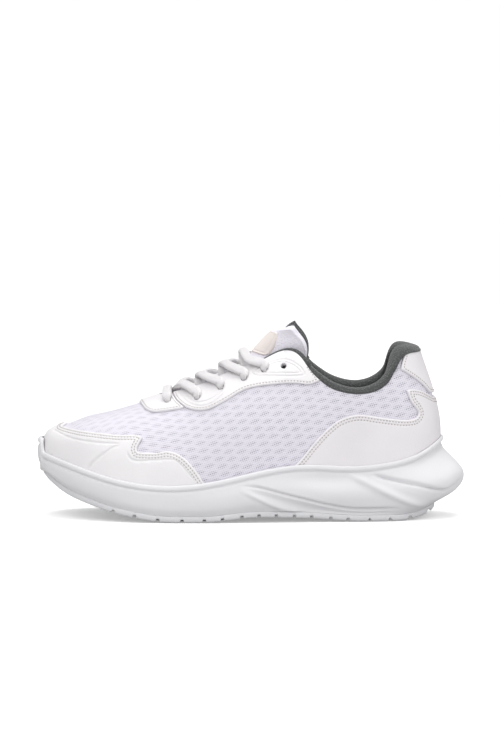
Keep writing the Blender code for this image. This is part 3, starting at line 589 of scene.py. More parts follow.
def knit(name, light, groove, hole):
    """Engineered mesh: short slanted clusters of small holes between smooth swellings. The sunk clusters are mixed
    a little towards GROOVE as painted shade, GROOVE also varies the yarn's tone at random, and the holes are
    painted HOLE: the dark lining seen through them, with painted shade.
    """
    look = Look(name, 0.86, sheen=0.25)
    u, v = look.cloth_place()
    level = look.maths("DIVIDE", look.maths("ADD", v, look.maths("MULTIPLY", u, KNIT_FALL)), KNIT_HIGH)
    row = look.maths("FLOOR", level)
    along = look.maths("ADD", look.maths("DIVIDE", u, KNIT_WIDE), look.maths("MULTIPLY", row, KNIT_SHIFT))
    a = look.maths("MULTIPLY", look.maths("SUBTRACT", look.maths("FRACT", along), 0.5), KNIT_WIDE)
    b = look.maths("MULTIPLY", look.maths("SUBTRACT", look.maths("FRACT", level), 0.5), KNIT_HIGH)
    c, s = math.cos(CLUSTER_TILT), math.sin(CLUSTER_TILT)
    p = look.maths("ADD", look.maths("MULTIPLY", a, c), look.maths("MULTIPLY", b, s))
    q = look.maths("SUBTRACT", look.maths("MULTIPLY", b, c), look.maths("MULTIPLY", a, s))
    reach = look.maths("SQRT", look.maths("ADD", look.maths("POWER", look.maths("DIVIDE", p, CLUSTER_LONG), 2.0),
                                          look.maths("POWER", look.maths("DIVIDE", q, CLUSTER_SLIM), 2.0)))
    cluster = look.step(reach, 0.6, 1.15, 1.0, 0.0)
    pr, qr = (look.maths("FRACT", look.maths("ADD", look.maths("DIVIDE", way, HOLE_GAP), 0.5)) for way in (p, q))
    pr, qr = look.maths("SUBTRACT", pr, 0.5), look.maths("SUBTRACT", qr, 0.5)
    spot = look.maths("SQRT", look.maths("ADD", look.maths("POWER", pr, 2.0), look.maths("POWER", qr, 2.0)))
    share = look.maths("ADD", look.maths("MULTIPLY", cluster, 0.72), 0.28)
    pierced = look.maths("MULTIPLY", look.step(spot, 0.16, 0.36, 1.0, 0.0), share)
    rib = look.maths("SINE", look.maths("MULTIPLY", look.maths("ADD", u, look.maths("MULTIPLY", v, 0.35)), 8.5))
    rib = look.maths("MULTIPLY", look.maths("ADD", rib, 1.0), 0.12)
    yarn = look.noise(2300.0, 2.0)
    # painted shade: the sunk clusters are mixed a little towards the groove colour
    base = look.mix(look.maths("MULTIPLY", cluster, 0.06), light, groove)
    base = look.mix(look.maths("MULTIPLY", yarn, 0.25), base, groove)
    # the holes are painted dark: the dark lining seen through them, with painted shade
    look.colour(look.mix(pierced, base, hole))
    height = look.maths("SUBTRACT", look.maths("ADD", rib, look.maths("MULTIPLY", yarn, 0.25)),
                        look.maths("MULTIPLY", pierced, 1.0))
    look.bump(height, 0.00035, 0.8)
    return look.mat


def textile(name, light, shade, scale, depth, rough=0.92, sheen=0.3):
    """A knitted or spacer cloth: small round meshes over a fine yarn. The sunk network round the meshes is painted
    towards SHADE as painted shade, and the yarn noise varies the tone at random.
    """
    look = Look(name, rough, sheen=sheen)
    mesh_cells = look.step(look.cells(scale), 0.15, 0.6)
    yarn = look.noise(scale * 3.2, 3.0)
    # partly painted shade: the sunk network between the meshes takes the shade colour; the yarn noise is random
    # tone
    look.colour(look.mix(look.maths("MULTIPLY", look.maths("ADD", mesh_cells, yarn), 0.5), light, shade))
    look.roughness(look.step(yarn, 0.3, 0.7, rough - 0.05, rough + 0.05))
    look.bump(look.maths("SUBTRACT", yarn, look.maths("MULTIPLY", mesh_cells, 1.2)), depth, 0.8)
    return look.mat


def moulded(name, light, shade, rough, depth=0.00006, scale=900.0):
    """Moulded foam or rubber: satin skin with a very fine texture."""
    look = Look(name, rough, specular=0.4)
    look.colour(look.mix(look.step(look.noise(18.0, 3.0), 0.3, 0.7), light, shade))
    skin = look.maths("ADD", look.noise(scale, 3.0), look.maths("MULTIPLY", look.cells(scale * 0.7), 0.5))
    look.roughness(look.step(look.noise(140.0, 3.0), 0.3, 0.7, rough - 0.06, rough + 0.06))
    look.bump(skin, depth, 0.5)
    return look.mat


def braid(name, light, groove):
    """A braided lace: diagonal strands that cross, from the lace's own coordinates. The low gaps between the
    strands are painted in GROOVE, a painted shade.
    """
    look = Look(name, 0.85, sheen=0.35)
    u, v = look.cloth_place()
    strands = []
    for sign in (1.0, -1.0):
        phase = look.maths("ADD", look.maths("MULTIPLY", u, 5.2), look.maths("MULTIPLY", v, 5.2 * sign))
        strands.append(look.maths("ABSOLUTE", look.maths("SINE", phase)))
    weave = look.maths("MULTIPLY", strands[0], strands[1])
    # painted shade: the low gaps between the strands take the darker groove colour
    look.colour(look.mix(look.step(weave, 0.0, 0.35), groove, light))
    look.bump(look.maths("ADD", weave, look.maths("MULTIPLY", look.noise(3000.0, 2.0), 0.3)), 0.0003, 0.8)
    return look.mat


def fibre(name, light, shade, scale=600.0, rough=0.9):
    """Board or open foam: mottled, with fine grit."""
    look = Look(name, rough)
    look.colour(look.mix(look.step(look.noise(scale * 0.3, 4.0), 0.35, 0.65), light, shade))
    look.bump(look.noise(scale, 4.0), 0.0002, 0.7)
    return look.mat


# The cloth's repeat, in millimetres: clusters of holes along a row, the rows, their shift and their fall
KNIT_WIDE, KNIT_HIGH, KNIT_SHIFT, KNIT_FALL = 8.5, 5.03, 0.235, 0.135
CLUSTER_LONG, CLUSTER_SLIM, CLUSTER_TILT, HOLE_GAP = 3.9, 1.5, 0.35, 1.3

WHITE_LEATHER = leather("white_synthetic_leather", (0.83, 0.815, 0.825), (0.79, 0.775, 0.79), 0.46)
HEEL_LEATHER = leather("heel_synthetic_leather", (0.80, 0.775, 0.80), (0.76, 0.735, 0.76), 0.48)
# mesh colours: the cloth; the groove colour, partly painted shade in the sunk clusters and partly yarn tone; the
# holes, the dark lining seen through them with painted shade
UPPER_KNIT = knit("upper_engineered_mesh", (0.79, 0.765, 0.84), (0.60, 0.57, 0.66), (0.26, 0.24, 0.30))
# the tongue cloth's second colour is partly painted shade in its sunk network, partly random yarn tone
TONGUE_KNIT = textile("tongue_air_mesh", (0.95, 0.92, 0.98), (0.88, 0.85, 0.94), 900.0, 0.0002)
MIDSOLE_FOAM = moulded("midsole_foam", (0.745, 0.74, 0.76), (0.72, 0.715, 0.735), 0.55)
OUTSOLE_RUBBER = moulded("outsole_rubber", (0.70, 0.70, 0.72), (0.66, 0.66, 0.68), 0.62, 0.00009, 700.0)
# for these three cloths too the second colour is partly painted shade in the sunk network, partly random yarn tone
COLLAR_CLOTH = textile("collar_spacer_mesh", (0.105, 0.11, 0.11), (0.045, 0.047, 0.047), 820.0, 0.0004)
LINING_CLOTH = textile("lining_cloth", (0.095, 0.10, 0.10), (0.05, 0.052, 0.052), 1300.0, 0.0002)
INSOLE_CLOTH = textile("sockliner_cloth", (0.12, 0.125, 0.13), (0.06, 0.062, 0.065), 1100.0, 0.00025)
# the lace's second colour is painted shade for the gaps between its strands
LACE_BRAID = braid("lace_braid", (0.95, 0.93, 0.94), (0.86, 0.84, 0.86))
THREAD = fibre("sewing_thread", (0.52, 0.48, 0.46), (0.42, 0.385, 0.37), 4000.0, 0.7)
BADGE_FILM = leather("badge_film", (0.86, 0.79, 0.75), (0.83, 0.76, 0.73), 0.38)
BOARD = fibre("strobel_board_fibre", (0.75, 0.70, 0.60), (0.66, 0.60, 0.50))
STIFFENER = fibre("stiffener_fibre", (0.62, 0.52, 0.40), (0.52, 0.43, 0.32))
BACKER = fibre("backer_fibre", (0.74, 0.72, 0.68), (0.66, 0.64, 0.60))
PADDING = fibre("padding_foam", (0.80, 0.75, 0.55), (0.70, 0.66, 0.47), 1500.0)
AGLET = moulded("aglet_plastic", (0.82, 0.82, 0.84), (0.78, 0.78, 0.81), 0.28, 0.00002, 400.0)


# Bottom unit ----------------------------------------------------------------------------------------------

wall_mid = spline([(-140, 5), (-120, 5), (-61, 4.2), (0, 6), (60, 6.5), (95, 8.5), (115, 13), (127, 18)])
wall_low = spline([(-140, 0.5), (-120, 1.0), (-61, 1.0), (0, 1.5), (60, 2), (100, 2), (115, 0), (127, -2)])
mid_height = straight([(-140, 0.55), (-100, 0.5), (0, 0.5), (90, 0.5), (127, 0.48)])
NOTCHES = (-91.8, -77.5, -61.9, -45.6, -30.6, -18.4, -5.4, 6.1, 17.7, 29.9, 41.5, 54.4, 66, 80.9, 94.5, 108,
           121)

# The midsole's moulded lines, as (x, height) on its side
CREASE_LOW = [(-5, 25), (6, 24), (22, 19.5), (37, 15.5), (55, 11), (72, 8.5), (100, 8.5)]
RIDGE_LOW = [(-7, 22.5), (4, 17.5), (20, 10.5), (41, 5)]
RIDGE_HIGH = [(65, 32.5), (78, 26.5), (91, 20), (105, 14), (120, 9.5)]
CREASE_HIGH = [(82, 31.5), (96, 28), (113, 24.5), (127, 20.5), (135, 20.5), (145, 27.5)]


def perimeter(start, end, step):
    """Thetas an even STEP apart round the footprint."""
    fine = np.linspace(start, end, 2000)
    x, y = frame_at(fine)[:2]
    run = np.concatenate([[0], np.cumsum(np.hypot(np.diff(x), np.diff(y)))])
    return np.interp(np.linspace(0, run[-1], int(run[-1] / step) + 1), run, fine)


def bumper(theta):
    """How much of the raised toe bumper there is."""
    return 1 - smoothstep(np.abs(theta), 0.15, 0.21)


def wall_rows(theta):
    """The midsole's section at one theta: its side from the sole to the rim, then down inside to the bed."""
    x, y, dx, dy, _, q = (float(v) for v in frame_at(theta))
    raised = float(bumper(theta))
    top = float(rim(x)) + 8.5 * raised
    low = float(under(x - dx * float(wall_low(x)))) + OUTSOLE_THICK
    span = top - low
    mid, foot = float(wall_mid(x)), float(wall_low(x))
    spots = [(-foot, low), (-mid * 0.82, low + 0.22 * span), (-mid, low + float(mid_height(x)) * span),
             (-4.3, low + 0.82 * span), (-4.2, top - 1.6), (-3.5, top - 0.35), (-2.8, top)]
    line = even(through_points([(r, z) for r, z in spots], 0.4), 0.4)
    rows = np.linspace(0, len(line) - 1, 61)
    r, z = (np.interp(rows, np.arange(len(line)), line[:, k]) for k in (0, 1))
    side = np.stack([x + dx * r, y + dy * r, z], -1)
    t_rim = float(t_at(theta, top))
    ts = t_rim * np.linspace(1, 0, 7)
    bare = float(smoothstep(x, -27, -21) * (1 - smoothstep(x, 23, 30)))  # where no guard lies over the mesh
    cup = layer(theta, ts, np.full(7, 2.1 + 1.2 * raised - 1.75 * bare))
    cup[0, 2], cup[-1, 2] = top - 0.1, float(bed(x))
    return side, cup, (x, dx, dy, float(q))


def flat_gap(x, z, line):
    """Distance in the side view from points to a smooth line, positive above it."""
    smooth_line = through_points(line, 2.0)
    p = np.stack([x.ravel(), z.ravel(), 0 * x.ravel()], -1)
    chain = np.column_stack([smooth_line, np.zeros(len(smooth_line))])
    up = np.broadcast_to([0.0, 0.0, 1.0], p.shape)
    return off_line(p, chain, up).reshape(x.shape)


def line_fade(x, line, run=12.0):
    """1 along a line, falling to 0 past its two ends."""
    ends = line[0][0], line[-1][0]
    return smoothstep(x, min(ends) - 2, min(ends) + run) * (1 - smoothstep(x, max(ends) - run, max(ends) + 4))


def rim_band(below_rim):
    """The raised band along the midsole's rim and the narrow groove under it."""
    return 0.55 * (1 - smoothstep(below_rim, 3.4, 4.6)) - 0.75 * np.exp(-(((below_rim - 5.0) / 0.9) ** 2))


def relief(x, z, below_rim):
    """How far the midsole's side stands out at each point, in millimetres."""
    low_gap, high_gap = flat_gap(x, z, CREASE_LOW), flat_gap(x, z, CREASE_HIGH)
    ridge_low, ridge_high = flat_gap(x, z, RIDGE_LOW), flat_gap(x, z, RIDGE_HIGH)
    out = -1.9 * np.exp(-((low_gap / 0.9) ** 2)) * line_fade(x, CREASE_LOW)
    out -= 2.0 * np.exp(-((high_gap / 0.9) ** 2)) * line_fade(x, CREASE_HIGH, 8.0)
    out += 1.6 * np.exp(-((ridge_low / 1.8) ** 2)) * line_fade(x, RIDGE_LOW)
    out += 1.9 * np.exp(-((ridge_high / 2.3) ** 2)) * line_fade(x, RIDGE_HIGH)
    out += 0.9 * smoothstep(high_gap, 0.0, 2.5) * (1 - smoothstep(high_gap, 5, 16)) * line_fade(x, CREASE_HIGH)
    out -= 1.2 * smoothstep(-low_gap, 0.0, 5.0) * (1 - smoothstep(-low_gap, 4, 12)) * line_fade(x, CREASE_LOW)
    out -= 1.5 * np.exp(-(((x - 49) / 19) ** 2) - ((z - 29.5) / 4.5) ** 2)
    out += 1.0 * np.exp(-(((x - 58) / 26) ** 2) - ((z - 18) / 6) ** 2)
    out = out * smoothstep(below_rim, 3.5, 6.5)
    return out + rim_band(below_rim)


def midsole():
    thetas = perimeter(-math.pi, math.pi, 1.3)[:-1]
    rows, sides = [], []
    for theta in thetas:
        side, cup, (x, dx, dy, q) = wall_rows(theta)
        yc = float(centre(q))
        sole, floor = [], []
        for share in (0.0, 0.35, 0.7, 0.92):
            a = np.array([q, yc]) * (1 - share) + side[0][:2] * share
            sole.append([a[0], a[1], float(under(a[0])) + OUTSOLE_THICK])
        for share in (0.25, 0.6, 1.0):
            a = cup[-1][:2] * (1 - share) + np.array([q, yc]) * share
            floor.append([a[0], a[1], float(bed(q)) * share + float(bed(x)) * (1 - share)])
        rows.append(np.vstack([sole, side, cup, floor]))
        sides.append((dx, dy))
    rows, sides = np.array(rows), np.array(sides)
    side = rows[:, 4:65]
    step = np.linalg.norm(np.diff(side, axis=1), axis=2)
    below = np.concatenate([np.cumsum(step[:, ::-1], axis=1)[:, ::-1], np.zeros((len(side), 1))], 1)
    facing = smoothstep(np.abs(np.sin(thetas)), 0.05, 0.3)[:, None]
    out = relief(side[..., 0], side[..., 2], below)
    rim_part = rim_band(below)
    out = (out - rim_part) * facing + rim_part
    out = out * smoothstep(below, 0.0, 1.2) * smoothstep(np.linspace(0, 1, 61), 0.0, 0.05)
    along = np.gradient(side, axis=1)
    across = np.stack([-sides[:, 0], -sides[:, 1], np.zeros(len(sides))], -1)[:, None]
    up = np.array([0.0, 0.0, 1.0])
    rise, lean = (along * up).sum(2), (along * across).sum(2)
    size = np.maximum(np.hypot(rise, lean), 1e-9)
    outward = across * (rise / size)[..., None] - up * (lean / size)[..., None]
    rows[:, 4:65] = side + outward * out[..., None]
    points, quads = loft(rows, True, closed_rings=False)
    return piece("midsole_shell", points, quads, MIDSOLE_FOAM, ("midsole",))


def tread(x, y, edge):
    """How deep the sole's pattern is cut at each point: cross grooves, long grooves and edge notches."""
    depth = np.zeros(x.shape)
    bend = 0.0016 * (y - centre(x)) ** 2
    for spot in NOTCHES:
        near = np.abs(x - spot - np.sign(spot + 20) * bend)
        depth = np.maximum(depth, 1 - smoothstep(near, 0.7, 1.3))
    half = width(np.clip(x, TOE_X, HEEL_X))
    for share in (-0.42, 0.42):
        near = np.abs(y - centre(x) - share * half - 1.2 * np.sin(x * 0.19))
        depth = np.maximum(depth, 1 - smoothstep(near, 0.8, 1.5))
    hollow = 1 - smoothstep(np.hypot((x - 28) / 34, (y - centre(x)) / 13), 0.85, 1.0)
    depth = np.maximum(depth, hollow)
    texture = 0.12 * (1 - smoothstep(np.abs(np.sin(x * 0.9) * np.sin(y * 0.9)), 0.1, 0.3))
    depth = np.maximum(depth, texture) * smoothstep(edge, 1.2, 2.6)
    for spot in NOTCHES:
        cut = (1 - smoothstep(np.abs(x - spot), 0.95, 1.35)) * (1 - smoothstep(edge, 7.0, 9.0))
        depth = np.maximum(depth, cut)
    return depth * TREAD_DEPTH


def outsole():
    extra = [s * float(theta_of(n + d, 1)) for n in NOTCHES for d in (-1.38, -0.94, 0.94, 1.38) for s in (-1, 1)]
    thetas = np.unique(np.round(np.concatenate([perimeter(-math.pi, math.pi, 1.5)[:-1], extra]), 6))
    shares = np.concatenate([np.linspace(0, 1, 70)[:-1], [1.0]])
    rings = []
    for theta in thetas:
        x, y, dx, dy, _, q = (float(v) for v in frame_at(theta))
        foot = float(wall_low(x)) + 0.2
        edge = np.array([x - dx * foot, y - dy * foot])
        middle = np.array([q, float(centre(q))])
        plan = middle * (1 - shares[:, None]) + edge * shares[:, None]
        inwards = (1 - shares) * np.linalg.norm(edge - middle)
        low = under(plan[:, 0]) + tread(plan[:, 0], plan[:, 1], inwards)
        low[-1] += 0.35
        top = float(under(edge[0])) + OUTSOLE_THICK
        outer = [[*plan[-1] - np.array([dx, dy]) * k, low[-1] + (top - low[-1]) * h]
                 for k, h in ((0.35, 0.18), (0.45, 0.5), (0.35, 0.85))]
        above = [[*(middle * (1 - s) + edge * s), float(under((middle * (1 - s) + edge * s)[0])) + OUTSOLE_THICK]
                 for s in (1.0, 0.75, 0.4, 0.0)]
        rings.append(np.vstack([np.column_stack([plan, low]), outer, above]))
    points, quads = loft(np.array(rings), True, closed_rings=False)
    return piece("outsole_rubber", points, quads, OUTSOLE_RUBBER, ("outsole",), sharp=32)


def sockliner():
    rings = []
    for theta in perimeter(-math.pi, math.pi, 2.2)[:-1]:
        x, y, dx, dy, _, q = (float(v) for v in frame_at(theta))
        inwards = 5.5 + 2.7 * float(smoothstep(x, 10, 50))
        edge, middle = np.array([x + dx * inwards, y + dy * inwards]), np.array([q, float(centre(q))])
        row = []
        for share, high in [(0.0, 2.5), (0.5, 2.5), (0.95, 2.5), (1.0, 3.4), (1.0, 6.5), (0.985, 8.8),
                            (0.96, 9.4), (0.93, 9.1), (0.88, 8.3), (0.8, 7.7), (0.6, 7.5), (0.3, 7.5), (0.0, 7.5)]:
            a = middle * (1 - share) + edge * share
            floor = float(bed(q)) * (1 - share) + float(bed(x)) * share
            row.append([a[0], a[1], floor + high])
        rings.append(row)
    points, quads = loft(np.array(rings), True, closed_rings=False)
    return piece("sockliner_pad", points, quads, INSOLE_CLOTH, ("sockliner",),
                 body="sockliner")


# Upper ----------------------------------------------------------------------------------------------------

def shell(theta, t, outer, inner, tris, uv=None):
    """A closed sheet between two heights over the last; corners that coincide are joined."""
    top = layer(theta, t, outer)
    _, first, index = np.unique(np.round(top / 0.02).astype(int), axis=0, return_index=True, return_inverse=True)
    tris = index.reshape(-1)[tris]
    tris = tris[(tris[:, 0] != tris[:, 1]) & (tris[:, 1] != tris[:, 2]) & (tris[:, 0] != tris[:, 2])]
    used, tris = np.unique(tris, return_inverse=True)
    tris = tris.reshape(-1, 3)
    first = first[used]
    bottom = layer(theta[first], t[first], np.broadcast_to(inner, theta.shape)[first])
    n = len(first)
    ways = np.concatenate([tris[:, [0, 1]], tris[:, [1, 2]], tris[:, [2, 0]]])
    known = {(int(a), int(b)) for a, b in ways}
    faces = [tuple(tri) for tri in tris] + [tuple(tri[::-1] + n) for tri in tris]
    faces += [(b, a, a + n, b + n) for a, b in known if (b, a) not in known]
    return np.vstack([top[first], bottom]), faces, None if uv is None else np.vstack([uv[first], uv[first]])


def eyelet_frame(number, side):
    """Theta and t of an eyelet, counted from the toe."""
    x, z = EYELETS[number]
    theta = float(theta_of(x, side))
    return theta, float(t_at(theta, z))


def overlay(name, patch, outline, free, look, grooves=(), holes=(), top=None, pair=None):
    """A sheet laid over the upper, cut on the outer side and mirrored to the inner side.

    FREE is the cut edge that is rounded, TOP an edge of the patch itself to round too, GROOVES are pressed
    lines as (line, half width, depth), all in theta and t. PAIR names two pieces in place of a joined one.
    """
    spots = patch.spots()
    edge = off_line(spots, on_last(free))
    edge = np.where(inside(patch.values[:, :2], outline), edge, -edge)
    for number in holes:
        edge = np.minimum(edge, np.linalg.norm(spots - last(*eyelet_frame(number, -1)), axis=1) - EYELET_R)
    column = patch.add(edge)
    patch.cut(column, 0.0)
    patch.keep(column)
    if top is not None:
        near = off_line(patch.spots(), on_last(top)) + 1e-3
        patch.values[:, column] = np.minimum(patch.values[:, column], near)
    for level in EDGE_CUTS:
        patch.cut(column, level)
    pressed = []
    for line, half, depth in grooves:
        chain = on_last(line)
        groove = patch.add(off_line(patch.spots(), chain, normal(*patch.values[:, :2].T)))
        for level in (-half, -half * 0.45, half * 0.45, half):
            patch.cut(groove, level, honest=True)
        pressed.append((groove, chain, half, depth))
    theta, t = patch.values[:, :2].T
    height = OVERLAY_IN + (OVERLAY_OUT - OVERLAY_IN) * edge_height(patch.values[:, column])
    for groove, chain, half, depth in pressed:
        spots = patch.spots()
        sunk = 1 - smoothstep(np.abs(off_line(spots, chain)) / half, 0.4, 1.0)
        if np.linalg.norm(chain[0] - chain[-1]) > 1:
            ends = np.minimum(np.linalg.norm(spots - chain[0], axis=1), np.linalg.norm(spots - chain[-1], axis=1))
            sunk = sunk * smoothstep(ends, 0.0, 4.0)
        height = height - depth * sunk
    n = len(theta)
    halves = [(theta, t, patch.tris), (-theta, t, patch.tris[:, ::-1])]
    if pair is None:
        points, faces, _ = shell(np.concatenate([theta, -theta]), np.tile(t, 2), np.tile(height, 2), OVERLAY_IN,
                                 np.vstack([patch.tris, patch.tris[:, ::-1] + n]))
        return piece(name, points, faces, look, (name,))
    for label, half in zip(pair, halves):
        points, faces, _ = shell(half[0], half[1], height, OVERLAY_IN, half[2])
        piece(f"{name}_{label}", points, faces, look, (f"{name}_{label}",))


def on_last(line):
    """Points on the last from (theta, t)."""
    return last(line[:, 0], line[:, 1])


def inset(line, distance):
    """A line this far to the left of another on the last, in theta and t; folded bits are dropped."""
    theta, t = line[:, 0], line[:, 1]
    spots, ups = last(theta, t), normal(theta, t)
    along = np.gradient(spots, axis=0)
    along /= np.maximum(np.linalg.norm(along, axis=1, keepdims=True), 1e-9)
    moved = spots + np.cross(ups, along) * distance
    clear = off_line(moved, spots) > abs(distance) * 0.96
    moved, theta, t = moved[clear], theta[clear], t[clear]
    return np.stack(locate(moved, -1, 0.0, (0, 1, 2), (theta, t)), -1)


def sewn(line, out=OVERLAY_OUT):
    """A row of stitches on both sides of the foot, as points with their normals; none over the free edge."""
    line = line[line[:, 1] < throat_t(line[:, 0]) - 0.012]
    rows = []
    for sign in (1, -1):
        theta, t = line[:, 0] * sign, line[:, 1]
        rows.append((layer(theta, t, np.full(len(t), out)), normal(theta, t)))
    return rows


def mirrored(points):
    """(x, height) points as a smooth line on the outer side, in theta and t."""
    return side_line([points], -1)


def box_out(line, low=-1.0):
    """A closed outline from a line and a far level; it passes the middle of the toe or heel."""
    start, end = line[0], line[-1]
    before = [[0.1, start[1]]] if start[0] > -1e-6 else np.zeros((0, 2))
    after = [[-math.pi - 0.1, end[1]]] if end[0] < -math.pi + 1e-6 else np.zeros((0, 2))
    whole = np.vstack([before, line, after])
    return np.vstack([whole, [[whole[-1, 0], low], [whole[0, 0], low]]])


# The upper's cut edges and pressed lines, as (x, height) on the outer side
TOE_GUARD_TOP = [(-127, 61.5), (-109, 60), (-90, 58.5), (-78, 58.5), (-72, 57.5)]
TOE_GUARD_NOTCH = [(-72, 57.5), (-74, 54), (-76, 50), (-75.5, 47.5), (-71.5, 47), (-63, 47), (-54.5, 48),
                   (-45.5, 44.5), (-37, 36), (-29, 24)]
TOE_PRESS_INNER = [(-82.5, 48.5), (-81.5, 44), (-77, 41.5), (-66, 42), (-53, 42.5), (-47, 39.5), (-37, 28)]
TOE_PRESS_TOP = [(-134, 59), (-121, 55), (-105, 53), (-87, 52.5)]
TOE_PRESS_LOW = [(-87, 51.5), (-92, 50), (-99, 45), (-105, 40), (-110, 34)]
THROAT_FRONT = [(-73.5, 77.5), (-70.5, 75), (-65, 73.5), (-55, 74.5), (-44, 76.5)]
EYESTAY_FRONT = [(-52.5, 85), (-49, 80.5), (-43, 76.5)]
EYESTAY_LOW = [(-43, 76.5), (-36, 75), (-28, 76), (-17, 81.5), (-5, 88.5), (6, 91.5), (22, 93), (32, 93),
               (40, 92.3), (47, 95)]
CRESCENT_OUT = [(-48.5, 85), (-42, 79.5), (-34, 77.5), (-26, 79.5), (-18, 85.5), (-12.5, 91.5)]
CRESCENT_IN = [(-43, 84), (-38.5, 80.5), (-33, 80), (-24, 83.5), (-15, 92.5)]
TRIANGLE = [(1, 100), (4, 98), (12, 98), (33, 98), (36.5, 100), (31.5, 105.5), (23, 108.5), (12, 106), (1, 100)]
TAB_FRONT = [(109.5, 117), (106, 114), (103.5, 108), (102, 102)]
TAB_LOW = [(102, 102), (106, 99.5), (112, 95.5), (118, 90.5), (122.5, 85)]
HEEL_GUARD_SIDE = [(28, 36), (34, 42), (43, 53), (52, 62.5), (61, 69), (73, 72), (88, 70), (104, 68), (112, 69),
                   (114, 73), (109, 80), (106, 87.5)]
HEEL_GUARD_TOP = [(106, 87.5), (109, 88.5), (116, 87), (124, 82)]


def to_heel(line, height):
    """The line carried on to the middle of the heel."""
    fresh = np.linspace(line[-1, 0], -math.pi, 30)[1:]
    share = smoothstep(np.linspace(0, 1, 30), 0, 1)[1:]
    z = last(line[-1, 0], line[-1, 1])[2] * (1 - share) + height * share
    return np.vstack([line, np.stack([fresh, t_at(fresh, z)], -1)])


def to_toe(line, height):
    """The line begun at the middle of the toe."""
    fresh = np.linspace(0.0, line[0, 0], 30)[:-1]
    share = smoothstep(np.linspace(0, 1, 30), 0, 1)[:-1]
    z = height * (1 - share) + last(line[0, 0], line[0, 1])[2] * share
    return np.vstack([np.stack([fresh, t_at(fresh, z)], -1), line])


threads = []


def sew(line, *distances):
    """Rows of stitches this far to the left of an edge, and the narrow channels that they pull in the sheet."""
    channels = []
    for distance in distances:
        row = inset(line, distance)
        threads.extend(sewn(row, OVERLAY_OUT - 0.22))
        channels.append((row, 0.62, 0.16))
    return channels


def toe_mudguard():
    line = to_toe(side_line([TOE_GUARD_TOP, TOE_GUARD_NOTCH], -1), 61.5)
    thetas = perimeter(float(theta_of(-26, -1)), 0.0, 1.15)
    high = t_at(thetas, np.full(len(thetas), 64.6))
    patch = Patch(thetas, along_t(edge_t(thetas, rim, -3.0), high, 36))
    grooves = [(mirrored(p), 0.85, 0.5) for p in (TOE_PRESS_INNER, TOE_PRESS_TOP, TOE_PRESS_LOW)]
    grooves += sew(line, -1.7, -3.5)
    overlay("toe_mudguard", patch, box_out(line), line, WHITE_LEATHER, grooves)


def heel_mudguard():
    line = to_heel(side_line([HEEL_GUARD_SIDE, HEEL_GUARD_TOP], -1), 80.6)
    thetas = perimeter(-math.pi, float(theta_of(26, -1)), 1.15)
    low = edge_t(thetas, rim, -3.0)
    high = t_at(thetas, np.interp(footprint_x(thetas), [26, 40, 60, 100, 127], [46, 58, 76, 92, 92]))
    patch = Patch(thetas, along_t(low, high, 36))
    overlay("heel_mudguard", patch, box_out(line), line, HEEL_LEATHER, sew(line, -1.7, -3.5))


def heel_tab():
    line = to_heel(side_line([TAB_FRONT, TAB_LOW], -1), 83.6)
    thetas = perimeter(-math.pi, float(theta_of(97, -1)), 1.0)
    high = throat_t(thetas)
    patch = Patch(thetas, along_t(t_at(thetas, np.full(len(thetas), 80.0)), high, 34))
    border = np.stack([thetas, high], -1)
    overlay("heel_tab", patch, box_out(line, 2.0), line, HEEL_LEATHER, sew(line, 1.7), top=border)


def eyestays():
    front = side_line([EYESTAY_FRONT, EYESTAY_LOW], -1)
    rear = mirrored([EYESTAY_LOW[-1], (43, 100), (40, 104), (36, 110.5)])
    line = np.vstack([front, rear[1:]])
    thetas = perimeter(float(theta_of(51, -1)), float(theta_of(-54.5, -1)), 1.0)[::-1]
    x = footprint_x(thetas)
    high = throat_t(thetas)
    low = t_at(thetas, np.interp(x, [-55, -45, -33, -10, 0, 20, 51], [70, 70, 71, 81, 86, 89, 89]))
    patch = Patch(thetas, along_t(low, high, 24))
    patch.tris = patch.tris[:, ::-1]
    border = np.stack([thetas, high], -1)
    grooves = [(mirrored(p), 0.65, 0.5) for p in (CRESCENT_OUT, CRESCENT_IN, TRIANGLE)]
    grooves.append((inset(mirrored(TRIANGLE), 2.0), 0.5, 0.35))
    grooves += sew(line, 1.5)
    overlay("eyestay", patch, box_out(line, 2.0), line, WHITE_LEATHER, grooves,
            holes=range(1, 6), top=border, pair=("lateral", "medial"))


def throat_overlay():
    low = mirrored(THROAT_FRONT)
    back = mirrored([(-44, 76.5), (-49, 80), (-52.5, 84), (-53, 85.5)])
    crest_x = -75.0
    start = low[0]
    bridge = np.linspace(0, 1, 12)[1:-1, None]
    reach_crest = np.array([float(np.interp(crest_x, spine_x(np.linspace(-110, -60, 200)),
                                            theta_of(np.linspace(-110, -60, 200), -1))), 1.0])
    line = np.vstack([reach_crest, reach_crest * (1 - bridge) + start * bridge, low, back])
    thetas = perimeter(float(theta_of(-96, -1)), float(theta_of(-42, -1)), 1.0)
    high = throat_t(thetas)
    patch = Patch(thetas, along_t(t_at(thetas, np.full(len(thetas), 68.0)), high, 26))
    patch.tris = patch.tris[:, ::-1] if thetas[0] > thetas[-1] else patch.tris
    behind = thetas[footprint_x(thetas) > -61.4]
    border = np.stack([behind, throat_t(behind)], -1)
    overlay("throat_overlay", patch, box_out(line, 2.0), line, WHITE_LEATHER,
            sew(line, 1.5), holes=[0], top=border)


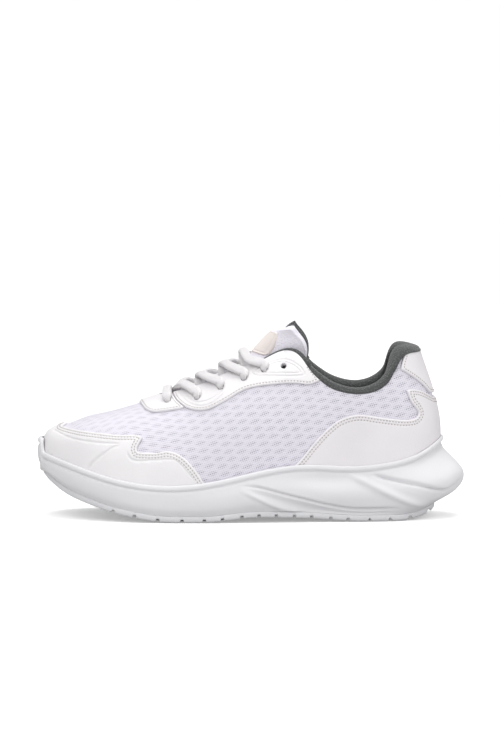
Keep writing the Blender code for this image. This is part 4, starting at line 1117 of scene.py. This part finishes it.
def knit_place(theta, t):
    """The cloth's own coordinates: along the foot, and up its side from the sole."""
    thetas, index = np.unique(theta, return_inverse=True)
    ts = np.linspace(0, 1, 101)
    spots = last(thetas[:, None], ts)
    step, none = np.diff(spots, axis=1), np.zeros((len(thetas), 1))
    ahead = spots[:, 1:, 0]
    slope = crest(ahead + 0.5) - crest(ahead - 0.5)
    rise = np.concatenate([none, np.cumsum(np.hypot(step[..., 1], step[..., 2]), axis=1)], 1)
    fall = np.hypot(step[..., 1], step[..., 2] - slope * step[..., 0])
    fall = np.concatenate([np.cumsum(fall[:, ::-1], axis=1)[:, ::-1], none], 1)
    whole = float(np.interp(float(theta_of(-75, -1)), thetas, rise[:, -1]))
    share = smoothstep(spots[..., 0], -105, -65)
    level = rise * share + (whole - fall) * (1 - share)  # over the toes the rows follow the instep line
    up = [np.interp(v, ts, level[k]) for k, v in zip(index.reshape(-1), t)]
    return np.stack([last(theta, t)[:, 0], up], -1)


def knit_swell(uv):
    """The cloth stands out between its clusters of holes, in millimetres."""
    u, v = uv.T
    level = (v + u * KNIT_FALL) / KNIT_HIGH
    along = u / KNIT_WIDE + KNIT_SHIFT * np.floor(level)
    a, b = (along % 1 - 0.5) * KNIT_WIDE, (level % 1 - 0.5) * KNIT_HIGH
    c, s = math.cos(CLUSTER_TILT), math.sin(CLUSTER_TILT)
    p, q = a * c + b * s, b * c - a * s
    return 0.08 - 0.1 * (1 - smoothstep(np.hypot(p / CLUSTER_LONG, q / CLUSTER_SLIM), 0.3, 1.3))


def mesh_upper():
    thetas = perimeter(-math.pi, 0.0, 0.95)
    thetas = np.unique(np.concatenate([thetas, theta_of(np.array([-61.5001, -61.0, -59.5, -58.0]), -1)]))
    ts = along_t(edge_t(thetas, bed, 0.3), throat_t(thetas), 100)
    patch = Patch(thetas, ts)
    hole = patch.add(np.min([np.linalg.norm(patch.spots() - last(*eyelet_frame(k, -1)), axis=1) - EYELET_R
                             for k in range(6)], axis=0))
    patch.cut(hole, 0.0)
    patch.keep(hole)
    theta, t = patch.values[:, :2].T
    n = len(theta)
    both_theta, both_t = np.concatenate([theta, -theta]), np.tile(t, 2)
    uv = np.vstack([knit_place(theta, t)] * 2)
    points, faces, uv = shell(both_theta, both_t, knit_swell(uv), -1.5,
                              np.vstack([patch.tris, patch.tris[:, ::-1] + n]), uv)
    return piece("upper_mesh_shell", points, faces, UPPER_KNIT, ("mesh_upper",), uv=uv)


def linings():
    thetas = perimeter(float(theta_of(-62.2, -1)), float(theta_of(-62.2, 1)), 2.2)
    low, high = edge_t(thetas, bed, 2.5), np.full(len(thetas), 0.985)
    rings = band_rings(thetas, low, high, LINING_OUT, LINING_IN, 24)
    points, quads = loft(rings, False, cap=True)
    piece("toe_lining", points, quads, LINING_CLOTH, ("vamp_lining",))
    for side, label in ((-1, "lateral"), (1, "medial")):
        ends = sorted((float(theta_of(-61.0, side)), float(theta_of(35.4, side))))
        thetas = perimeter(*ends, 1.6)
        high = np.minimum(edge_t(thetas, topline, -0.6), 0.972)
        rings = band_rings(thetas, edge_t(thetas, bed, 2.5), high, LINING_OUT, LINING_IN, 30)
        points, quads = loft(rings, False, cap=True)
        piece(f"side_lining_{label}", points, quads, LINING_CLOTH, (f"quarter_lining_{label}",))


def toe_stiffener():
    thetas = perimeter(float(theta_of(-118, -1)), float(theta_of(-118, 1)), 2.0)
    high = np.minimum(t_at(thetas, np.full(len(thetas), 61.0)), 0.97)
    rings = band_rings(thetas, edge_t(thetas, bed, 2.5), high, -2.0, -3.0, 18)
    points, quads = loft(rings, False, cap=True)
    piece("toe_stiffener", points, quads, STIFFENER, ("toe_puff",))


def throat_binding():
    """The dark folded edge of the lining that shows over the eyestay's top edge, up to the collar."""
    for side, label in ((-1, "lateral"), (1, "medial")):
        ends = sorted((float(theta_of(1.0, side)), float(theta_of(38.5, side))))
        thetas = perimeter(*ends, 0.9)
        t = throat_t(thetas)
        high = np.interp(footprint_x(thetas), [1, 5, 18, 38.5], [0.3, 2.2, 3.1, 3.4])[:, None]
        edge = layer(thetas, t, np.full(len(t), 0.6))
        ups = np.gradient(edge, axis=0)
        ups /= np.linalg.norm(ups, axis=1, keepdims=True)
        out = normal(thetas, t)
        rise = np.cross(out, ups) * side
        rise *= np.sign(rise[:, 2:3])
        rings = []
        for bend in np.linspace(0, TURN, 12, endpoint=False):
            rings.append(edge + rise * (high * (0.5 + 0.5 * math.sin(bend)) - 0.5) + out * 0.9 * math.cos(bend))
        points, quads = loft(np.stack(rings, 1), False, cap=True)
        piece(f"throat_binding_{label}", points, quads, COLLAR_CLOTH)


def collar_line(theta):
    """The collar's section at one theta: its cloth's face from the outer edge over the roll and down inside."""
    x, y, dx, dy, _, q = (float(v) for v in frame_at(theta))
    top, base = float(topline(x)), float(bed(x))
    rise, thick = float(collar_rise(x)), float(collar_thick(x))
    edge = -0.5 - 1.6 * float(smoothstep(x, 99, 103.5))
    spots = [(edge + 0.9, top - 0.1), (edge - 0.1, top + 0.35), (edge * 0.8 + 0.2, top + 0.55 * rise),
             (0.24 * thick + edge * 0.3, top + 0.93 * rise),
             (0.52 * thick, top + rise), (0.82 * thick, top + 0.78 * rise), (1.02 * thick, top + 0.3 * rise),
             (1.08 * thick, top - 2.0), (1.05 * thick, top - 7), (0.98 * thick, top - 12),
             (thick * 0.97, top - 0.35 * (top - base)), (0.4 * thick + 3.2, base + 0.35 * (top - base)),
             (5.0, base + 2.6)]
    line = through_points([(d, z) for d, z in spots], 0.7)
    t = t_at(np.full(len(line), theta), np.minimum(line[:, 1], top))
    points = last(np.full(len(line), theta), t)
    points = points + np.array([dx, dy, 0]) * line[:, :1]
    points[:, 2] = line[:, 1]
    return points, np.array([dx, dy, 0.0])


def collar():
    thetas = perimeter(float(theta_of(36.2, 1)), TURN - float(theta_of(36.2, 1)), 1.7)
    cloth, pads = [], []
    for theta in thetas:
        line, inwards = collar_line(theta)
        run = np.concatenate([[0], np.cumsum(np.linalg.norm(np.diff(line, axis=0), axis=1))])
        seam = 0.7 * np.exp(-(((run - 26) / 0.9) ** 2)) + 0.5 * np.exp(-(((run - 3.2) / 0.7) ** 2))
        along = np.gradient(line, axis=0)
        along /= np.linalg.norm(along, axis=1, keepdims=True)
        side_way = np.cross(inwards, [0.0, 0.0, 1.0])
        out = np.cross(side_way, along)
        out *= np.sign((out[len(out) // 2] * inwards).sum())
        places = np.linspace(0, run[-1], 92)
        face = np.stack([np.interp(places, run, c) for c in (line - out * seam[:, None]).T], -1)
        under_way = np.stack([np.interp(places, run, c) for c in out.T], -1)
        back = face - under_way * (1.0 * smoothstep(places, 0, 2.0) + 0.15)[:, None]
        cloth.append(np.vstack([face, back[::-1]]))
        x = float(footprint_x(theta))
        if x > 46:
            pad = face[12:60] - under_way[12:60] * 2.0
            ends = float(t_at(theta, pad[-1, 2])), float(t_at(theta, topline(x) - 1))
            wall = layer(np.full(12, theta), np.linspace(*ends, 12), np.full(12, -3.6))
            pads.append(np.vstack([pad, wall]))
    points, quads = loft(np.array(cloth), False, cap=True)
    piece("collar_cover", points, quads, COLLAR_CLOTH, ("collar_lining",))
    points, quads = loft(np.array(pads), False, cap=True)
    piece("collar_padding", points, quads, PADDING, ("collar_foam",))


# Tongue ---------------------------------------------------------------------------------------------------

TONGUE = [(-57, 76.5, -55, 13, 67), (-46, 81, -43, 20, 66), (-34, 86.5, -29, 24.5, 69), (-22, 91.9, -13, 26, 74.5),
          (-12, 97.6, 3, 25, 82.5), (-5, 102.7, 17, 23, 91), (-1, 108, 28.5, 17.4, 99), (3.5, 113.5, 37, 15.3, 107),
          (9, 119.5, 37, 17.5, 117), (13, 123.5, 32, 18.5, 123.5), (16, 126, 28, 20, 128)]
tongue_curves = [spline([(i, row[k]) for i, row in enumerate(TONGUE)]) for k in range(5)]


def tongue_point(p, q):
    """The tongue's face: p counts stations from its base, q runs from -1 (outer edge) to 1 (inner edge)."""
    p, q = np.broadcast_arrays(np.asarray(p, float), np.asarray(q, float))
    tx, tz, ex, ey, ez = (c(p) for c in tongue_curves)
    s = np.abs(q)
    b1, b2, b3 = 3 * s * (1 - s) ** 2, 3 * s**2 * (1 - s), s**3
    y = b1 * 0.3 * ey + b2 * 0.72 * ey + b3 * ey
    x = tx + (ex - tx) * (b2 * 0.38 + b3)
    z = tz + (ez - tz) * (b2 * 0.55 + b3)
    return np.stack([x, centre(x) + np.sign(q) * y, z], -1)


def tongue_layer(p, q, depth):
    """A point this far inside the tongue's face."""
    p, q = np.broadcast_arrays(np.asarray(p, float), np.asarray(q, float))
    e = 1e-3
    du = tongue_point(np.minimum(p + e, 10), q) - tongue_point(np.maximum(p - e, 0), q)
    dv = tongue_point(p, q + e) - tongue_point(p, q - e)
    n = np.cross(du, dv)
    n /= np.linalg.norm(n, axis=-1, keepdims=True)
    return tongue_point(p, q) - n * np.asarray(depth)[..., None]


def tongue_sheet(name, look, nodes, shallow, deep, width_share, swell, slim_edge, end=10.0):
    """A whole layer of the tongue with a rounded rim, bending from the shoe to its free top."""
    ps = np.linspace(0.0, end, 150)
    qs = np.sin(np.linspace(-1, 1, 65) * math.pi / 2)
    near_edge = np.minimum(1 - np.abs(qs)[None, :], np.minimum(10.3 - ps, 1)[:, None] * 1.0)
    puff = swell * smoothstep(near_edge, 0.0, 0.35)
    thick = (deep - shallow) * (1 - slim_edge * (np.abs(qs)[None, :] ** 6) * np.ones((len(ps), 1)))
    mid = np.broadcast_to(shallow + (deep - shallow) / 2, puff.shape)
    outer = tongue_layer(ps[:, None], qs * width_share, mid - thick / 2 - puff)
    inner = tongue_layer(ps[:, None], qs * width_share, mid + thick / 2)
    rings = []
    for k in range(len(ps)):
        row, back = outer[k], inner[k][::-1]
        tip = (row[-1] + back[0]) / 2 + (row[-1] - row[-2]) / max(np.linalg.norm(row[-1] - row[-2]), 1e-6) * 0.4
        tail = (row[0] + back[-1]) / 2 + (row[0] - row[1]) / max(np.linalg.norm(row[0] - row[1]), 1e-6) * 0.4
        rings.append(np.vstack([row, tip, back, tail]))
    points, quads = loft(np.array(rings), False, cap=True)
    obj = piece(name, points, quads, look, nodes, body=None)
    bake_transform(obj)
    return obj


def tongue():
    face = tongue_sheet("tongue_cover", TONGUE_KNIT, ("tongue_face_lower", "tongue_face_top"),
                        0.0, 1.0, 1.0, 0.5, 0.0)
    pad = tongue_sheet("tongue_padding", PADDING, ("tongue_foam_lower", "tongue_foam_top"),
                       1.25, 5.4, 0.93, 0.0, 0.8, 9.1)
    back = tongue_sheet("tongue_back", COLLAR_CLOTH, ("tongue_lining_lower", "tongue_lining_top"),
                        5.6, 6.5, 0.99, 0.0, 0.0)


def tongue_edge(name, look, shift, half, proud, dip=0.0):
    """A strip round the tongue's rim; SHIFT is towards its face, DIP lowers it along the free end."""
    path = [(p, -0.985) for p in np.linspace(5.2, 9.75, 60)]
    path += [(9.98, q) for q in np.linspace(-0.985, 0.985, 80)]
    path = np.array(path + [(p, 0.985) for p in np.linspace(9.75, 5.2, 60)])
    face, back = (tongue_layer(path[:, 0], path[:, 1], np.full(len(path), d)) for d in (-0.1, 6.3))
    middle = (face + back) / 2
    hull = (face - back) / np.linalg.norm(face - back, axis=1, keepdims=True)
    along = np.gradient(middle, axis=0)
    along /= np.linalg.norm(along, axis=1, keepdims=True)
    away = np.cross(hull, along)
    away *= np.sign((away[100] * (middle[100] - tongue_layer(8.0, 0.0, np.array(3.0)))).sum())
    rings = []
    for bend in np.linspace(0, TURN, 20, endpoint=False):
        c, s = math.cos(bend), math.sin(bend)
        stand = proud + c - dip * smoothstep(path[:, :1], 8.6, 9.9)
        rings.append(middle + hull * (shift + half * np.sign(s) * abs(s) ** 0.7) + away * stand)
    points, quads = loft(np.stack(rings, 1), False, cap=True)
    obj = piece(name, points, quads, look, body=None)
    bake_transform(obj)


def badge():
    """A plain welded patch with rounded corners and a pressed frame."""
    n = 61
    a, b = np.meshgrid(np.linspace(-1, 1, n), np.linspace(-1, 1, n), indexing="ij")
    edge = 1 - np.maximum(np.abs(a), np.abs(b))
    near_a, near_b = (np.clip((np.abs(way) - 0.75) / 0.25, 0, 1) for way in (a, b))
    squeeze = 1 - 0.14 * near_a**2 * near_b**2
    p, q = 8.1 + 1.45 * a * squeeze, 0.55 * b * squeeze
    rise = 1.0 * smoothstep(edge, 0.0, 0.05) - 0.3 * np.exp(-(((edge - 0.17) / 0.035) ** 2))
    top, low = tongue_layer(p, q, -0.35 - rise), tongue_layer(p, q, np.full(p.shape, -0.3))
    points = np.vstack([top.reshape(-1, 3), low.reshape(-1, 3)])
    ids = np.arange(n * n).reshape(n, n)
    faces = []
    for i in range(n - 1):
        for j in range(n - 1):
            quad = (ids[i, j], ids[i + 1, j], ids[i + 1, j + 1], ids[i, j + 1])
            faces += [quad, tuple(k + n * n for k in reversed(quad))]
    rim_ids = np.concatenate([ids[:-1, 0], ids[-1, :-1], ids[:0:-1, -1], ids[0, :0:-1]])
    for k, l in zip(rim_ids, np.roll(rim_ids, -1)):
        faces.append((l, k, k + n * n, l + n * n))
    return piece("tongue_patch", points, faces, BADGE_FILM, ("tongue_badge",), body="tongue_top")


# Lace -----------------------------------------------------------------------------------------------------

def off_last(x, z, side, out):
    """A point over the last where it has this x and height."""
    theta = float(theta_of(x, side))
    return layer(np.array(theta), t_at(theta, z), np.array(float(out)))


def eyelet_spot(number, side, out, along=0.0):
    """A point on an eyelet's axis, moved this far towards the throat."""
    theta, t = eyelet_frame(number, side)
    centre_point, axis = last(theta, t), normal(theta, t)
    up = last(theta, t + 0.02) - centre_point
    return centre_point + axis * out + up / np.linalg.norm(up) * along


def throat_height(x, y, over):
    """A point over the tongue in the throat."""
    near = min((abs(tongue_point(p, q)[0] - x) + abs(tongue_point(p, q)[1] - y), p, q)
               for p in np.linspace(0, 6.5, 40) for q in np.linspace(-0.6, 0.6, 13))
    base = tongue_point(near[1], near[2])
    return np.array([x, y, base[2] + over])


def edge_spot(x, side, out):
    """A point over or under the throat's edge."""
    theta = np.array([float(theta_of(x, side))])
    return layer(theta, throat_t(theta), np.array([float(out)]))[0]


def crossing(number, side):
    """From under eyelet NUMBER on one side, over the tongue, into the next eyelet on the other side."""
    (x0, z0), (x1, z1) = EYELETS[number], EYELETS[number + 1]
    middle = (x0 + x1) / 2
    steep = float(crest(middle + 1) - crest(middle - 1)) / 2
    lean = steep * (float(crest(middle)) - (z0 + z1) / 2)
    y0 = float(centre(x0))
    lift = (4.5, 6, 6.5, 6.5)[number] if side < 0 else (6.5, 9.2, 9.7, 9.7)[number]
    return [eyelet_spot(number, side, -6.0, 2.5), edge_spot(max(x0, -53), side, -6.0),
            throat_height(middle - lean - 2.5, y0, lift),
            edge_spot(x1 - 8, -side, 5.6), eyelet_spot(number + 1, -side, 3.9, 3.6)]


def through(number, side):
    """Down an eyelet from outside."""
    return [eyelet_spot(number, side, 2.9, 0.9), eyelet_spot(number, side, 0.8), eyelet_spot(number, side, -4.4)]


# A tail's way down inside the upper after the last laced eyelet, as (x, height) against the quarter's lining
TAIL = [(5, 93), (-8, 85), (-22, 77), (-36, 70), (-47, 65.5), (-54, 60), (-50, 54), (-38, 54.5), (-24, 59.5),
        (-10, 66), (2, 73), (11, 76), (17, 72), (12, 65.5), (0, 60), (-14, 53), (-28, 46.5), (-42, 41)]
TAIL_DEPTH = -6.3


def half_lace(side):
    """From the middle of the bar over the first pair of eyelets to the end of one tail."""
    points, here = [], side
    points += [eyelet_spot(0, here, 3.7, 5.0)] + through(0, here)
    for number in range(4):
        points += crossing(number, here)
        here = -here
        points += through(number + 1, here)
    points.append(eyelet_spot(4, here, -6.5, -2.0))
    for count, (x, z) in enumerate(TAIL):
        points.append(off_last(x, z, here, TAIL_DEPTH - 2.0 * smoothstep(count, len(TAIL) - 4, len(TAIL) - 1)))
    return points


def lace():
    """A flat braided lace, gathered where it passes an eyelet."""
    first, second = half_lace(-1), half_lace(1)
    bar = (first[0] + second[0]) / 2 + np.array([0, 0, 3.0])
    line = even(through_points(first[::-1] + [bar] + second, 0.5), 0.8)
    along = np.gradient(line, axis=0)
    along /= np.linalg.norm(along, axis=1, keepdims=True)
    wish = line - np.column_stack([line[:, 0] + 12, centre(line[:, 0]), np.minimum(crest(line[:, 0]), 118) - 42])
    wish /= np.linalg.norm(wish, axis=1, keepdims=True)
    flat = wish - along * (wish * along).sum(1)[:, None]
    weight = np.linalg.norm(flat, axis=1, keepdims=True) ** 2
    for _ in range(60):
        flat[1:-1] = (flat[:-2] + flat[2:] + flat[1:-1] * (0.4 + weight[1:-1])) / 3
        flat -= along * (flat * along).sum(1)[:, None]
        flat = flat / np.maximum(np.linalg.norm(flat, axis=1, keepdims=True), 1e-6) * np.maximum(weight, 0.02)
    flat /= np.linalg.norm(flat, axis=1, keepdims=True)
    across = np.cross(along, flat)
    eyes = np.array([eyelet_spot(k, s, 0.3) for k in range(5) for s in (-1, 1)])
    near = np.linalg.norm(line[:, None] - eyes, axis=2).min(1)
    tails = np.minimum(np.arange(len(line)), np.arange(len(line))[::-1]) * 0.8
    loose = smoothstep(near, 1.2, 4.5) * (0.25 + 0.75 * smoothstep(tails, 2, 14))
    wide, thick = 3.5 + (LACE_WIDE - 3.5) * loose, 2.7 + (LACE_THICK - 2.7) * loose
    rings, uv = [], []
    run = np.arange(len(line)) * 0.8
    for bend in np.linspace(0, TURN, 22, endpoint=False):
        c, s = math.cos(bend), math.sin(bend)
        a, b = np.sign(c) * abs(c) ** 0.75, np.sign(s) * abs(s) ** 0.75
        rings.append(line + across * (wide / 2 * a)[:, None] + flat * (thick / 2 * b)[:, None])
        uv.append(np.stack([run, np.full(len(run), a * LACE_WIDE / 2 + (0 if s > 0 else 9))], -1))
    points, quads = loft(np.stack(rings, 1), False, cap=True)
    return piece("lace", points, quads, LACE_BRAID, ("shoelace",), uv=np.stack(uv, 1).reshape(-1, 2))


# Assembly -------------------------------------------------------------------------------------------------

midsole()
outsole()
sockliner()
mesh_upper()
toe_mudguard()
heel_mudguard()
heel_tab()
eyestays()
throat_overlay()
stitches("upper_stitching", threads, THREAD)
linings()
toe_stiffener()
throat_binding()
collar()
tongue()
tongue_edge("tongue_rim", TONGUE_KNIT, 1.2, 2.3, 0.1)
tongue_edge("tongue_binding", COLLAR_CLOTH, -2.25, 1.4, 0.4, 1.1)
badge()
lace()

for nodes, look in ((("strobel_board",), BOARD), (("heel_counter",), STIFFENER),
                    (("eyestay_backer_lateral", "eyestay_backer_medial"), BACKER),
                    (("aglet_a", "aglet_b"), AGLET)):
    for node in nodes:
        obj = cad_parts[node]
        obj.data.materials.clear()
        obj.data.materials.append(look)


# Floor, light and camera ----------------------------------------------------------------------------------

def light(name, place, aim, size, watts):
    lamp = bpy.data.lights.new(name, "AREA")
    lamp.shape, lamp.size, lamp.size_y, lamp.energy = "RECTANGLE", size[0], size[1], watts
    obj = bpy.data.objects.new(name, lamp)
    obj.location = place
    obj.rotation_euler = (Vector(aim) - Vector(place)).to_track_quat("-Z", "Y").to_euler()
    bpy.context.scene.collection.objects.link(obj)


def sheet_floor(name, drop, look):
    """A floor that curves up far behind the shoe."""
    mesh = bpy.data.meshes.new(name)
    sweep = [(-7.0, 0.0), (2.2, 0.0)] + [(2.2 + 1.5 * math.sin(a), 1.5 - 1.5 * math.cos(a))
                                         for a in np.linspace(0.1, math.pi / 2, 16)] + [(3.7, 7.0)]
    spots = [(x, y, z - drop) for y, z in sweep for x in (-8.0, 8.0)]
    mesh.from_pydata(spots, [], [(2 * k, 2 * k + 1, 2 * k + 3, 2 * k + 2) for k in range(len(sweep) - 1)])
    mesh.shade_smooth()
    mesh.materials.append(look.mat)
    floor = bpy.data.objects.new(name, mesh)
    bpy.context.scene.collection.objects.link(floor)
    return floor


def stage():
    paper = Look("floor_paper", 0.9, specular=0.0)
    paper.colour(paper.mix(paper.noise(3.0, 2.0), (0.93, 0.93, 0.93), (0.95, 0.95, 0.95)))
    paper.shader.inputs["Emission Color"].default_value = (1, 1, 1, 1)
    paper.shader.inputs["Emission Strength"].default_value = 0.32
    floor = sheet_floor("floor", 0.0004, paper)
    floor.visible_diffuse = floor.visible_glossy = floor.visible_shadow = False
    card = Look("bounce_card", 0.9, specular=0.0)
    card.colour(card.mix(card.noise(3.0, 2.0), (0.60, 0.60, 0.60), (0.62, 0.62, 0.62)))
    bounce = sheet_floor("floor_bounce", 0.0008, card)  # the light that the floor gives back, unseen
    bounce.visible_camera = False
    world = bpy.data.worlds.new("studio")
    world.use_nodes = True
    world.node_tree.nodes["Background"].inputs[0].default_value = (1.0, 1.0, 1.0, 1)
    world.node_tree.nodes["Background"].inputs[1].default_value = 0.64
    scene = bpy.context.scene
    scene.world = world
    scene.view_settings.view_transform = "Standard"
    light("key", (-0.7, -1.5, 1.9), (0, 0, 0.06), (1.6, 1.6), 20)
    light("top", (0.1, 0.2, 2.2), (0, 0, 0.05), (1.4, 1.4), 23)
    light("fill", (1.4, -1.2, 0.9), (0, 0, 0.06), (1.2, 1.2), 8)


stage()
camera = bpy.data.cameras.new("camera")
camera.sensor_fit, camera.sensor_width = "HORIZONTAL", 36.0
camera.lens = 36.0 * CAMERA_FAR / FRAME_WIDTH
camera.clip_end = 30.0
viewer = bpy.data.objects.new("camera", camera)
viewer.location = AIM + Vector((0, -math.cos(CAMERA_RISE), math.sin(CAMERA_RISE))) * CAMERA_FAR
viewer.rotation_euler = (AIM - viewer.location).to_track_quat("-Z", "Y").to_euler()
bpy.context.scene.collection.objects.link(viewer)
bpy.context.scene.camera = viewer
